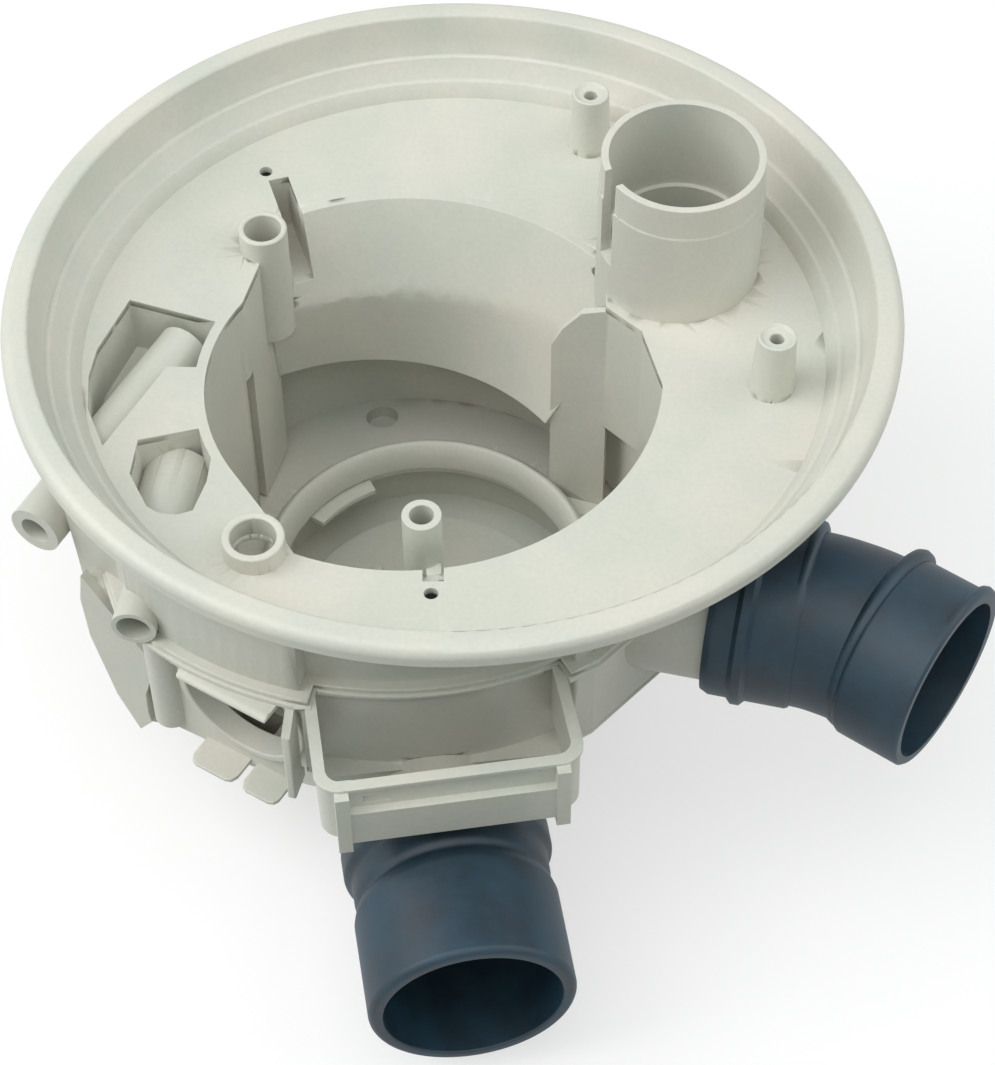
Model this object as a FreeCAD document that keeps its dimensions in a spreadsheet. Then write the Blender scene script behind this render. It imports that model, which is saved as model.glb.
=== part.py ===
import FreeCAD, Part
import math
import os

import Sketcher
from FreeCAD import Placement, Rotation, Vector

# Dishwasher sump: a moulded funnel with its well, a welded-on lower pot, two rubber sleeves
# and a non-return flap. Millimetres, origin at the centre of the rim's top plane, +Z up,
# the pump sleeves at the front (-Y) and the right (+X).

# Driving dimensions. Depths are measured down from the rim's top plane.
DIMENSIONS = [
    # moulded wall thicknesses
    ("wall", 2.5),
    ("thin_wall", 2.0),
    # rim and funnel
    ("rim_radius", 132.5),
    ("rim_crest_radius", 124.5),
    ("rim_lip_drop", 6.0),
    ("rim_nose_round", 3.5),
    ("rim_crest_round", 1.5),
    ("collar_ledge", 1.8),
    ("collar_round", 0.7),
    ("collar_foot_radius", 119.5),
    ("collar_foot_depth", 13.5),
    ("collar_step_radius", 114.5),
    ("collar_step_depth", 19.5),
    ("floor_radius", 111.5),
    ("floor_depth", 24.0),
    ("floor_slope", 0.055),
    ("floor_core_radius", 20.0),
    # well that the filter stands in
    ("well_x", -14.5),
    ("well_y", -7.5),
    ("well_radius", 77.0),
    ("well_lip_depth", 85.0),
    # pot and its chamber
    ("pot_x", -17.0),
    ("pot_y", -6.0),
    ("pot_radius", 109.5),
    ("pot_floor_depth", 82.0),
    ("recess_radius", 103.0),
    ("recess_start", 257.0),
    ("recess_span", 40.5),
    ("right_flat_azimuth", 316.0),
    ("right_flat", 106.0),
    ("left_flat_azimuth", 200.0),
    ("left_flat", 100.0),
    ("seam_depth", 48.0),
    ("seam_bead", 1.8),
    ("seam_proud", 1.6),
    ("skirt_set_in", 2.5),
    ("chamber_radius", 76.0),
    ("chamber_floor_depth", 122.0),
    ("chamber_foot_drop", 6.5),
    ("dish_x", -26.7),
    ("dish_y", 60.7),
    ("dish_radius", 5.5),
    ("dish_depth", 7.5),
    # filter seat and drain cup
    ("seat_x", -10.0),
    ("seat_y", -12.0),
    ("seat_radius", 47.5),
    ("seat_bore_depth", 121.5),
    ("seat_bore_height", 5.0),
    ("seat_relief", 1.5),
    ("seat_crest_radius", 51.5),
    ("seat_crest_depth", 112.0),
    ("seat_lip_depth", 125.0),
    ("cup_radius", 56.0),
    ("cup_floor_depth", 145.0),
    ("disc_radius", 42.7),
    ("disc_rise", 4.0),
    ("passage_height", 14.0),
    # left guide wall
    ("guide_radius", 64.5),
    ("guide_start", 148.7),
    ("guide_end", 211.0),
    ("guide_tip_x", -58.5),
    ("guide_tip_y", 46.0),
    ("groove_width", 5.0),
    ("groove_cut", 3.6),
    ("groove_depth", 60.0),
    # right guide blade
    ("blade_tip_x", 30.0),
    ("blade_tip_y", 24.0),
    ("blade_bend_x", 46.5),
    ("blade_bend_y", 19.5),
    ("blade_wall_x", 57.0),
    ("blade_wall_y", 8.7),
    ("corner_end_x", 62.4),
    ("corner_end_y", -14.0),
    ("blade_tip_depth", 49.0),
    ("blade_rise", 20.0),
    # feed socket of the spray arms
    ("socket_x", 68.9),
    ("socket_y", 36.6),
    ("socket_radius", 24.6),
    ("socket_wall", 2.3),
    ("socket_height", 19.5),
    ("socket_band", 11.0),
    ("socket_step", 0.6),
    ("socket_step_foot", 20.0),
    ("socket_slot", 7.0),
    ("socket_slot_drop", 33.0),
    ("socket_slot_azimuth", 204.0),
    ("socket_ledge_depth", 13.0),
    ("socket_foot_depth", 46.0),
    ("socket_foot_radius", 25.6),
    # posts
    ("screw_post_radius", 5.8),
    ("screw_post_foot_radius", 6.8),
    ("screw_hole_radius", 2.1),
    ("screw_post_depth", 3.0),
    ("screw_seat_radius", 4.6),
    ("screw_seat_drop", 1.0),
    ("rear_screw_x", 43.2),
    ("rear_screw_y", 89.9),
    ("side_screw_x", 94.5),
    ("side_screw_y", -16.3),
    ("left_hole_x", -60.5),
    ("left_hole_y", 78.0),
    ("front_hole_x", -6.0),
    ("front_hole_y", -93.0),
    ("post_top_depth", 18.0),
    ("rear_post_x", -59.5),
    ("rear_post_y", 45.5),
    ("rear_post_radius", 7.6),
    ("rear_post_bore", 5.7),
    ("rear_post_foot", 62.0),
    ("front_post_x", -56.0),
    ("front_post_y", -77.6),
    ("front_post_radius", 9.0),
    ("front_post_bore", 6.6),
    ("latch_post_x", -8.7),
    ("latch_post_y", -71.5),
    ("latch_post_radius", 5.7),
    ("latch_post_bore", 3.5),
    ("latch_post_foot", 60.0),
    ("latch_rib_thick", 4.4),
    ("latch_rib_depth", 34.0),
    ("slot_width", 6.5),
    ("slot_depth", 46.0),
    ("slot_wall", 1.6),
    # inlet nipples and their trays
    ("upper_nipple_radius", 8.0),
    ("upper_nipple_bore", 4.5),
    ("lower_nipple_radius", 6.6),
    ("lower_nipple_bore", 5.0),
    ("lower_nipple_root_radius", 10.5),
    ("lower_nipple_straight", 12.0),
    ("lower_nipple_taper", 22.0),
    ("upper_nipple_x", -121.5),
    ("upper_nipple_y", -60.3),
    ("upper_nipple_depth", 36.0),
    ("upper_nipple_azimuth", 242.0),
    ("upper_nipple_length", 82.0),
    ("lower_nipple_x", -91.2),
    ("lower_nipple_y", -91.0),
    ("lower_nipple_depth", 43.0),
    ("lower_nipple_azimuth", 261.0),
    ("lower_nipple_length", 60.0),
    # drain side
    ("drain_azimuth", 238.0),
    ("drain_face", 99.5),
    ("drain_depth", 74.0),
    ("brow_set_in", 3.5),
    ("brow_thick", 16.0),
    ("column_offset", 20.5),
    ("column_radius", 5.5),
    ("column_height", 42.0),
    ("column_foot", 102.0),
    ("port_offset", -9.0),
    ("port_radius", 22.6),
    ("port_bore", 19.8),
    ("port_proud", 2.0),
    ("port_tab_length", 10.0),
    ("port_tab_thick", 1.5),
    ("port_tab_round", 2.6),
    ("port_tab_depth", 103.0),
    ("hood_reach", 113.3),
    ("hood_thick", 2.2),
    ("fin_azimuth", 254.6),
    ("fin_proud", 7.0),
    ("fin_thick", 2.6),
    ("fin_length", 38.0),
    ("fin_slope", 8.0),
    # drain outlet and its non-return flap
    ("outlet_x", -80.6),
    ("outlet_y", -68.5),
    ("outlet_azimuth", 135.0),
    ("outlet_drop", 16.7),
    ("outlet_radius", 10.0),
    ("outlet_bore", 8.2),
    ("outlet_length", 38.0),
    ("outlet_root_radius", 11.2),
    ("outlet_root_length", 21.0),
    ("hose_room", 3.6),
    ("valve_seat_bore", 5.5),
    ("valve_seat_thick", 2.0),
    ("flap_radius", 7.0),
    ("flap_thick", 1.4),
    ("flap_gap", 0.3),
    ("hinge_rise", 5.8),
    ("hinge_barrel_radius", 1.6),
    ("hinge_barrel_length", 6.0),
    ("pin_radius", 0.8),
    ("pin_length", 13.0),
    ("pin_clearance", 0.07),
    # front bracket
    ("bracket_depth", 50.0),
    ("bracket_height", 24.0),
    ("bracket_band", 1.5),
    ("bracket_round", 7.0),
    ("bracket_post", 4.0),
    ("bracket_post_drop", 3.0),
    ("bracket_left_x", -37.8),
    ("bracket_left_y", -143.3),
    ("bracket_right_x", 37.4),
    ("bracket_right_y", -132.5),
    # suction side, at the front
    ("suction_x", 5.0),
    ("suction_y", -177.5),
    ("suction_drop", 25.0),
    ("suction_azimuth", 279.0),
    ("suction_length", 58.0),
    ("suction_neck_radius", 29.0),
    ("suction_barrel_radius", 30.0),
    ("suction_barrel_length", 36.0),
    ("sleeve_groove", 2.0),
    ("suction_bore", 25.8),
    ("suction_spigot_radius", 24.5),
    ("suction_spigot_bore", 21.5),
    ("suction_spigot_overlap", 22.0),
    ("suction_spigot_root", 52.0),
    ("suction_collar_length", 13.0),
    ("suction_collar_proud", 2.0),
    # pressure side, at the right
    ("pressure_x", 140.6),
    ("pressure_y", -101.8),
    ("pressure_rise", 26.0),
    ("pressure_start_azimuth", -13.8),
    ("pressure_end_azimuth", -36.3),
    ("pressure_neck_x", 76.5),
    ("pressure_neck_y", -72.8),
    ("pressure_bend_x", 107.0),
    ("pressure_bend_y", -80.3),
    ("pressure_turn_x", 118.5),
    ("pressure_turn_y", -85.6),
    ("pressure_collar_length", 26.0),
    ("pressure_collar_radius", 27.0),
    ("pressure_rib_azimuth", -18.5),
    ("pressure_rib_radius", 27.9),
    ("pressure_rib_x", 99.6),
    ("pressure_rib_y", -76.7),
    ("pressure_barrel_length", 22.5),
    ("pressure_neck_radius", 26.0),
    ("pressure_barrel_radius", 28.0),
    ("pressure_bore", 23.3),
    ("pressure_end_bore", 24.8),
    ("pressure_spigot_bore", 20.0),
    ("pressure_spigot_overlap", 22.0),
    ("pressure_spigot_root", 30.0),
    ("sleeve_bead", 1.6),
    # duct from the pressure side to the feed socket
    ("duct_inner", 81.0),
    ("duct_outer", 101.5),
    ("duct_top", 32.0),
]


class Term:
    """A size with its value and the text of the same sum over the sheet's cells."""

    def __init__(self, text, value):
        self.text = text
        self.value = float(value)

    def __add__(self, other):
        other = term(other)
        return Term(f"({self.text} + {other.text})", self.value + other.value)

    def __sub__(self, other):
        other = term(other)
        return Term(f"({self.text} - {other.text})", self.value - other.value)

    def __mul__(self, other):
        other = term(other)
        return Term(f"({self.text} * {other.text})", self.value * other.value)

    def __truediv__(self, other):
        other = term(other)
        return Term(f"({self.text} / {other.text})", self.value / other.value)

    def __radd__(self, other):
        return term(other) + self

    def __rsub__(self, other):
        return term(other) - self

    def __rmul__(self, other):
        return term(other) * self

    def __neg__(self):
        return Term(f"(-{self.text})", -self.value)


def term(number):
    """A plain number as a Term, or a Term as it is."""
    if isinstance(number, Term):
        return number
    return Term(repr(float(number)), number)


def cosine(angle):
    angle = term(angle)
    return Term(f"cos({angle.text})", math.cos(math.radians(angle.value)))


def sine(angle):
    angle = term(angle)
    return Term(f"sin({angle.text})", math.sin(math.radians(angle.value)))


doc = FreeCAD.newDocument("Sump")
sheet = doc.addObject("Spreadsheet::Sheet", "Sizes")


class Cells:
    """The driving dimensions by name."""


cells = Cells()
for row, (alias, size) in enumerate(DIMENSIONS, start=1):
    sheet.set(f"A{row}", alias)
    sheet.set(f"B{row}", str(size))
    sheet.setAlias(f"B{row}", alias)
    setattr(cells, alias, Term(f"Sizes.{alias}", size))
doc.recompute()


def bind(thing, prop, size):
    """Ties a property to the sheet."""
    thing.setExpression(prop, term(size).text)


def put(thing, x=0, y=0, z=0, rotation=None):
    """Places an object, with its position tied to the sheet."""
    place = (term(x), term(y), term(z))
    base = Vector(*[part.value for part in place])
    thing.Placement = Placement(base, rotation or Rotation())
    for axis, part in zip("xyz", place):
        bind(thing, f"Placement.Base.{axis}", part)
    return thing


def turned(azimuth):
    """A turn about Z."""
    return Rotation(Vector(0, 0, 1), term(azimuth).value)


def pointing(azimuth):
    """A rotation that lays local Z along a level direction."""
    angle = math.radians(term(azimuth).value)
    level = Vector(math.cos(angle), math.sin(angle), 0)
    return Rotation(Vector(0, 0, 1).cross(level), 90)


def along(azimuth, x, y, distance, aside=0):
    """The point at a distance along a level direction, and aside to its left."""
    reach_x = term(x) + distance * cosine(azimuth) - aside * sine(azimuth)
    reach_y = term(y) + distance * sine(azimuth) + aside * cosine(azimuth)
    return reach_x, reach_y


def cylinder(name, radius, height, x=0, y=0, z=0, rotation=None, span=None):
    thing = doc.addObject("Part::Cylinder", name)
    bind(thing, "Radius", radius)
    bind(thing, "Height", height)
    if span is not None:
        bind(thing, "Angle", span)
    return put(thing, x, y, z, rotation)


def box(name, length, width, height, x=0, y=0, z=0, rotation=None):
    thing = doc.addObject("Part::Box", name)
    bind(thing, "Length", length)
    bind(thing, "Width", width)
    bind(thing, "Height", height)
    return put(thing, x, y, z, rotation)


def cone(name, low, high, height, x=0, y=0, z=0, rotation=None):
    thing = doc.addObject("Part::Cone", name)
    bind(thing, "Radius1", low)
    bind(thing, "Radius2", high)
    bind(thing, "Height", height)
    return put(thing, x, y, z, rotation)


def cut(name, base, *tools):
    """The base with each tool taken away in turn."""
    for number, tool in enumerate(tools):
        step = doc.addObject("Part::Cut", f"{name}_{number}")
        step.Base = base
        step.Tool = tool
        base = step
    return base


def fuse(name, *shapes):
    thing = doc.addObject("Part::MultiFuse", name)
    thing.Shapes = list(shapes)
    return thing


def common(name, first, second):
    thing = doc.addObject("Part::Common", name)
    thing.Base = first
    thing.Tool = second
    return thing


def tube(name, radius, bore, height, **place):
    outer = cylinder(f"{name}_outside", radius, height, **place)
    inner = cylinder(f"{name}_bore", bore, height, **place)
    return cut(name, outer, inner)


def outline(body, name, role, points):
    """A closed polygon sketch on one of the body's planes, every corner tied to the sheet."""
    sketch = body.newObject("Sketcher::SketchObject", name)
    plane = [each for each in body.Origin.OriginFeatures if each.Role == role][0]
    sketch.AttachmentSupport = [(plane, "")]
    sketch.MapMode = "FlatFace"
    corners = [(term(u), term(v)) for u, v in points]
    places = [Vector(u.value, v.value, 0) for u, v in corners]
    count = len(places)
    for index, start in enumerate(places):
        sketch.addGeometry(Part.LineSegment(start, places[(index + 1) % count]), False)
    for index in range(count):
        sketch.addConstraint(Sketcher.Constraint("Coincident", index, 2, (index + 1) % count, 1))
    for index, corner in enumerate(corners):
        for kind, size, level in zip(("DistanceX", "DistanceY"), corner, (-2, -1)):
            if abs(size.value) < 1e-9:
                sketch.addConstraint(Sketcher.Constraint("PointOnObject", index, 1, level))
            elif size.value > 0:
                number = sketch.addConstraint(
                    Sketcher.Constraint(kind, -1, 1, index, 1, size.value))
                bind(sketch, f"Constraints[{number}]", size)
            else:
                number = sketch.addConstraint(
                    Sketcher.Constraint(kind, index, 1, -1, 1, -size.value))
                bind(sketch, f"Constraints[{number}]", -size)
    return sketch


def revolved(name, points, x=0, y=0, z=0, rotation=None, rounds=()):
    """A turned body. Points are (radius, height); rounds are (radius, height, fillet size)."""
    body = doc.addObject("PartDesign::Body", name)
    sketch = outline(body, f"{name}_profile", "XZ_Plane", points)
    turn = body.newObject("PartDesign::Revolution", f"{name}_turn")
    turn.Profile = sketch
    turn.ReferenceAxis = (sketch, ["V_Axis"])
    turn.Angle = 360
    sketch.Visibility = False
    doc.recompute()
    for number, (radius, height, size) in enumerate(rounds):
        last = body.Tip
        ring = circle_at(last.Shape, term(radius).value, term(height).value)
        soften = body.newObject("PartDesign::Fillet", f"{name}_round{number}")
        soften.Base = (last, ring)
        bind(soften, "Radius", size)
        doc.recompute()
    return put(body, x, y, z, rotation)


def circle_at(shape, radius, height):
    """The names of the circular edges at a radius and height about the body's axis."""
    found = []
    for number, edge in enumerate(shape.Edges, start=1):
        curve = edge.Curve
        if not isinstance(curve, Part.Circle):
            continue
        near = abs(curve.Radius - radius) < 0.02 and abs(curve.Center.z - height) < 0.02
        if near and math.hypot(curve.Center.x, curve.Center.y) < 0.02:
            found.append(f"Edge{number}")
    return found


def padded(name, points, height, x=0, y=0, z=0, rotation=None, role="XY_Plane"):
    """A straight extrusion of a polygon."""
    body = doc.addObject("PartDesign::Body", name)
    sketch = outline(body, f"{name}_profile", role, points)
    pad = body.newObject("PartDesign::Pad", f"{name}_pad")
    pad.Profile = sketch
    bind(pad, "Length", height)
    sketch.Visibility = False
    return put(body, x, y, z, rotation)


def shaped(name, shape):
    """A shape made with the kernel's own functions."""
    thing = doc.addObject("Part::Feature", name)
    thing.Shape = shape
    return thing


nodes = {}


def node(name, thing):
    """Keeps an object as one named sub-part."""
    nodes[name] = thing
    return thing


c = cells
c.suction_depth = c.pot_floor_depth + c.suction_drop
c.pressure_depth = c.pot_floor_depth - c.pressure_rise
c.outlet_depth = c.pot_floor_depth + c.outlet_drop
c.duct_floor = c.pot_floor_depth - c.wall
c.disc_depth = c.cup_floor_depth - c.disc_rise
c.chamber_foot = c.chamber_floor_depth + c.chamber_foot_drop
pot = {"x": c.pot_x, "y": c.pot_y}
well = {"x": c.well_x, "y": c.well_y}
seat = {"x": c.seat_x, "y": c.seat_y}
socket = {"x": c.socket_x, "y": c.socket_y}


def floor_level(radius):
    """Height of the funnel floor's top face at a radius."""
    return -c.floor_depth - (c.floor_radius - radius) * c.floor_slope


# Rim collar: the flanged, stepped ring that hangs in the tub
collar_under = c.floor_depth + c.wall * 1.2
node("rim_collar", revolved("RimCollar", [
    (c.floor_radius, -c.floor_depth),
    (c.collar_step_radius, -c.collar_step_depth),
    (c.collar_step_radius + c.collar_ledge, -c.collar_step_depth + 0.3),
    (c.collar_foot_radius, -c.collar_foot_depth),
    (c.collar_foot_radius + c.collar_ledge, -c.collar_foot_depth + 0.3),
    (c.rim_crest_radius, 0),
    (c.rim_radius, 0),
    (c.rim_radius, -c.rim_lip_drop),
    (c.rim_radius - c.wall, -c.rim_lip_drop),
    (c.rim_radius - c.wall, -c.wall),
    (c.rim_crest_radius + c.wall, -c.wall),
    (c.collar_foot_radius + c.wall + 0.8, -c.collar_foot_depth - c.wall / 2),
    (c.collar_step_radius + c.wall + 0.8, -c.collar_step_depth - c.wall / 2),
    (c.floor_radius, -collar_under),
], rounds=[
    (c.rim_radius, 0, c.rim_nose_round),
    (c.rim_crest_radius, 0, c.rim_crest_round),
    (c.collar_foot_radius, -c.collar_foot_depth, c.collar_round),
    (c.collar_step_radius, -c.collar_step_depth, c.collar_round),
]))

# Everything above the funnel's underside, used to trim what stands below it
above_funnel = revolved("AboveFunnel", [
    (0, floor_level(0) - c.wall),
    (0, 1),
    (c.rim_radius, 1),
    (c.rim_radius, -c.wall),
    (c.rim_crest_radius + c.wall, -c.wall),
    (c.collar_foot_radius + c.wall + 0.8, -c.collar_foot_depth - c.wall / 2),
    (c.collar_step_radius + c.wall + 0.8, -c.collar_step_depth - c.wall / 2),
    (c.floor_radius, -collar_under),
    (c.floor_radius, -c.floor_depth - c.wall),
])

above_floor = revolved("AboveFloor", [
    (0, floor_level(0)),
    (0, 2),
    (c.floor_radius, 2),
    (c.floor_radius, -c.floor_depth),
])

# Well mouth: a circle with the left guide's land and the right guide's corner kept
guide_foot = along(c.guide_end, c.seat_x, c.seat_y, c.guide_radius)
guide_bend = along(c.guide_start, c.seat_x, c.seat_y, c.guide_radius)
well_cut = c.well_lip_depth
mouth_circle = cylinder("MouthCircle", c.well_radius, well_cut, z=-well_cut, **well)
left_land = padded("LeftLand", [
    (-120, 110),
    (c.guide_tip_x, 110),
    (c.guide_tip_x, c.guide_tip_y),
    guide_bend,
    guide_foot,
    (-52.0, -66.0),
    (-45.0, -78.0),
    (-45.0, -110),
    (-120, -110),
], well_cut + 2, z=-well_cut - 1)
guide_circle = cylinder("GuideCircle", c.guide_radius, well_cut + 4, z=-well_cut - 2, **seat)
right_land = padded("RightLand", [
    (c.blade_bend_x, c.blade_bend_y),
    (c.blade_wall_x, c.blade_wall_y),
    (c.corner_end_x, c.corner_end_y),
    (c.corner_end_x + 40, c.corner_end_y),
    (c.corner_end_x + 40, 45),
    (c.blade_bend_x, 45),
], well_cut + 2, z=-well_cut - 1)
mouth = cut("Mouth", mouth_circle, cut("LeftKeep", left_land, guide_circle), right_land)

# Pocket openings over the two inlet nipples
REAR_POCKET = [
    (-99.4, 21.3),
    (-68.0, 11.8),
    (-70.6, 0.1),
    (-75.3, -5.6),
    (-86.2, -5.9),
    (-102.4, -38.2),
    (-108.0, -23.7),
    (-109.0, -10.5),
    (-107.5, 0.5),
]
FRONT_POCKET = [
    (-92.4, -35.6),
    (-70.0, -28.9),
    (-70.5, -41.3),
    (-71.3, -51.2),
    (-74.5, -62.4),
    (-79.0, -64.2),
    (-83.9, -63.8),
    (-87.8, -61.2),
    (-93.7, -48.7),
]


def grown(points, distance):
    """A plan polygon grown about its middle."""
    middle_x = sum(x for x, y in points) / len(points)
    middle_y = sum(y for x, y in points) / len(points)
    result = []
    for x, y in points:
        reach = math.hypot(x - middle_x, y - middle_y)
        scale = (reach + distance) / reach
        result.append((middle_x + (x - middle_x) * scale, middle_y + (y - middle_y) * scale))
    return result


guide_back = cylinder("GuideBack", c.guide_radius + c.wall + 0.6, 60, z=-70, **seat)
rear_pocket = cut("RearPocketCut", padded("RearPocket", REAR_POCKET, 25.5, z=-45.5), guide_back)
front_pocket = cut("FrontPocketCut", padded("FrontPocket", FRONT_POCKET, 29.5, z=-49.5), guide_back)
guide_full = cylinder("GuideFull", c.guide_radius + c.wall, 60, z=-70, **seat)
rear_tray_solid = padded("RearTrayOuter", grown(REAR_POCKET, 2.6), 22, z=-48)
front_tray_solid = padded("FrontTrayOuter", grown(FRONT_POCKET, 2.6), 26, z=-52)

# Funnel floor
socket_low = -c.socket_foot_depth
socket_outer = cone("SocketOuter", c.socket_foot_radius, c.socket_radius,
                    c.socket_height + c.socket_foot_depth, z=socket_low, **socket)
slot_length = math.hypot(12.0, 38.0)
slot_turn = turned(math.degrees(math.atan2(-38.0, 12.0)))
slot_cut = box("SlotCut", slot_length, c.slot_width, c.slot_depth, x=-59.5, y=74.0,
               z=-c.slot_depth, rotation=slot_turn)
screw_places = [
    (c.left_hole_x, c.left_hole_y),
    (c.front_hole_x, c.front_hole_y),
    (c.rear_screw_x, c.rear_screw_y),
    (c.side_screw_x, c.side_screw_y),
]
screw_drills = [
    cylinder(f"FloorDrill{number}", c.screw_hole_radius, 20, x=x, y=y, z=-40)
    for number, (x, y) in enumerate(screw_places)
]
front_post_drill = cylinder("FrontPostDrill", c.front_post_bore, 20, x=c.front_post_x,
                            y=c.front_post_y, z=-40)
floor_raw = revolved("FloorRaw", [
    (c.floor_core_radius, floor_level(c.floor_core_radius)),
    (c.floor_radius, -c.floor_depth),
    (c.floor_radius, -c.floor_depth - c.wall),
    (c.floor_core_radius, floor_level(c.floor_core_radius) - c.wall),
])
mouth_notch = box("MouthNotch", 6, 12, 20, x=c.front_hole_x - 2.5, y=c.front_hole_y + 4.5, z=-40)


# Well wall: the front and right part of the well
blade_wall_angle = -4.8
well_front_start = 246.7
well_span = 360 + blade_wall_angle - well_front_start
well_outer = cylinder("WellOuter", c.well_radius + c.wall, c.pot_floor_depth, z=-c.pot_floor_depth,
                      rotation=turned(well_front_start), span=well_span, **well)
well_inner = cylinder("WellInner", c.well_radius, c.pot_floor_depth + 2,
                      z=-c.pot_floor_depth - 1, **well)
node("well_wall", cut("WellWall", well_outer, well_inner, above_funnel))


# Rear well wall: three arcs at three levels, lofted with a constant wall
def arc_strip(centre, radius, thick, start, end, level):
    """The outline of a curved wall in plan: two arcs and two ends."""
    def at(reach, angle):
        turn = math.radians(angle)
        return Vector(centre[0] + reach * math.cos(turn), centre[1] + reach * math.sin(turn), level)
    middle = (start + end) / 2
    inner = Part.Arc(at(radius, start), at(radius, middle), at(radius, end)).toShape()
    outer = Part.Arc(at(radius + thick, end), at(radius + thick, middle),
                     at(radius + thick, start)).toShape()
    first = Part.LineSegment(at(radius, end), at(radius + thick, end)).toShape()
    last = Part.LineSegment(at(radius + thick, start), at(radius, start)).toShape()
    return Part.Wire([inner, first, outer, last])


wall = c.wall.value
rear_levels = [
    arc_strip((c.well_x.value, c.well_y.value), c.well_radius.value, wall, 36.0, 124.5, -22.0),
    arc_strip((-18.0, -31.0), 82.6, wall, 41.0, 120.0, -54.0),
    arc_strip((-28.0, -18.0), 69.6, wall, 36.0, 116.5, -c.well_lip_depth.value),
]
rear_loft = shaped("RearLoft", Part.makeLoft(rear_levels, True, True))
inside_levels = [
    arc_strip((c.well_x.value, c.well_y.value), c.well_radius.value - 25, 25, 36.0, 124.5, -22.0),
    arc_strip((-18.0, -31.0), 57.6, 25, 41.0, 120.0, -54.0),
    arc_strip((-28.0, -18.0), 44.6, 25, 36.0, 116.5, -c.well_lip_depth.value),
]
rear_inside = shaped("RearInside", Part.makeLoft(inside_levels, True, True))
node("funnel_floor", cut("FunnelFloor", floor_raw, mouth, mouth_notch, socket_outer, rear_pocket,
                         front_pocket, slot_cut, rear_loft, rear_inside, front_post_drill,
                         *screw_drills))

# Feed socket: a slotted tube, stepped in a little round its mouth
socket_band = cylinder("SocketBand", c.socket_radius + c.socket_step,
                       c.socket_height - c.socket_band + c.socket_step_foot,
                       z=-c.socket_step_foot, **socket)
socket_bore = cylinder("SocketBore", c.socket_radius - c.socket_wall,
                       c.socket_height + c.socket_ledge_depth + 2, z=-c.socket_ledge_depth, **socket)
socket_throat = cylinder("SocketThroat", c.socket_radius - 1.6 * c.socket_wall,
                         c.socket_height + c.socket_foot_depth + 4, z=socket_low - 2, **socket)
slot_x, slot_y = along(c.socket_slot_azimuth, c.socket_x, c.socket_y, 10,
                       -c.socket_slot / 2)
socket_slot = box("SocketSlot", c.socket_radius, c.socket_slot, c.socket_slot_drop + 2, x=slot_x,
                  y=slot_y, z=c.socket_height - c.socket_slot_drop,
                  rotation=turned(c.socket_slot_azimuth))
node("feed_socket", cut("FeedSocket", fuse("SocketBlank", socket_outer, socket_band),
                        socket_bore, socket_throat, socket_slot))
node("well_rear_wall", cut("WellRearWall", rear_loft, above_floor, slot_cut, socket_outer))

# Left guide wall: an arc and a straight tip, grooved, standing on the chamber floor
floor_stand = c.chamber_floor_depth


def guide_face(offset):
    """Plan outline corners of the guide's face, moved out by an offset."""
    radius = c.guide_radius.value + offset
    centre = Vector(c.seat_x.value, c.seat_y.value, 0)
    points = []
    for angle in (c.guide_end.value, (c.guide_end.value + c.guide_start.value) / 2, c.guide_start.value):
        turn = math.radians(angle)
        points.append(centre + Vector(radius * math.cos(turn), radius * math.sin(turn), 0))
    tip = Vector(c.guide_tip_x.value - offset, c.guide_tip_y.value, 0)
    return points, tip


inner_points, inner_tip = guide_face(0)
outer_points, outer_tip = guide_face(wall)
guide_wire = Part.Wire([
    Part.Arc(*inner_points).toShape(),
    Part.LineSegment(inner_points[2], inner_tip).toShape(),
    Part.LineSegment(inner_tip, outer_tip).toShape(),
    Part.LineSegment(outer_tip, outer_points[2]).toShape(),
    Part.Arc(*reversed(outer_points)).toShape(),
    Part.LineSegment(outer_points[0], inner_points[0]).toShape(),
])
guide_solid = Part.Face(guide_wire).extrude(Vector(0, 0, floor_stand.value))
guide_solid.translate(Vector(0, 0, -floor_stand.value))
guide_raw = shaped("GuideRaw", guide_solid)
groove_x, groove_y = along(c.guide_start, c.seat_x, c.seat_y, c.guide_radius - 2,
                           -c.groove_width / 2)
groove = box("Groove", 2 + c.groove_cut, c.groove_width, floor_stand - c.groove_depth + 1,
             x=groove_x, y=groove_y, z=-floor_stand - 1, rotation=turned(c.guide_start))
back_x, back_y = along(c.guide_start, c.seat_x, c.seat_y, c.guide_radius + c.wall / 2,
                       -c.groove_width / 2 - c.thin_wall)
groove_back = box("GrooveBack", c.groove_cut + c.thin_wall - c.wall / 2,
                  c.groove_width + 2 * c.thin_wall, floor_stand - c.groove_depth + c.thin_wall,
                  x=back_x, y=back_y, z=-floor_stand, rotation=turned(c.guide_start))

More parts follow.
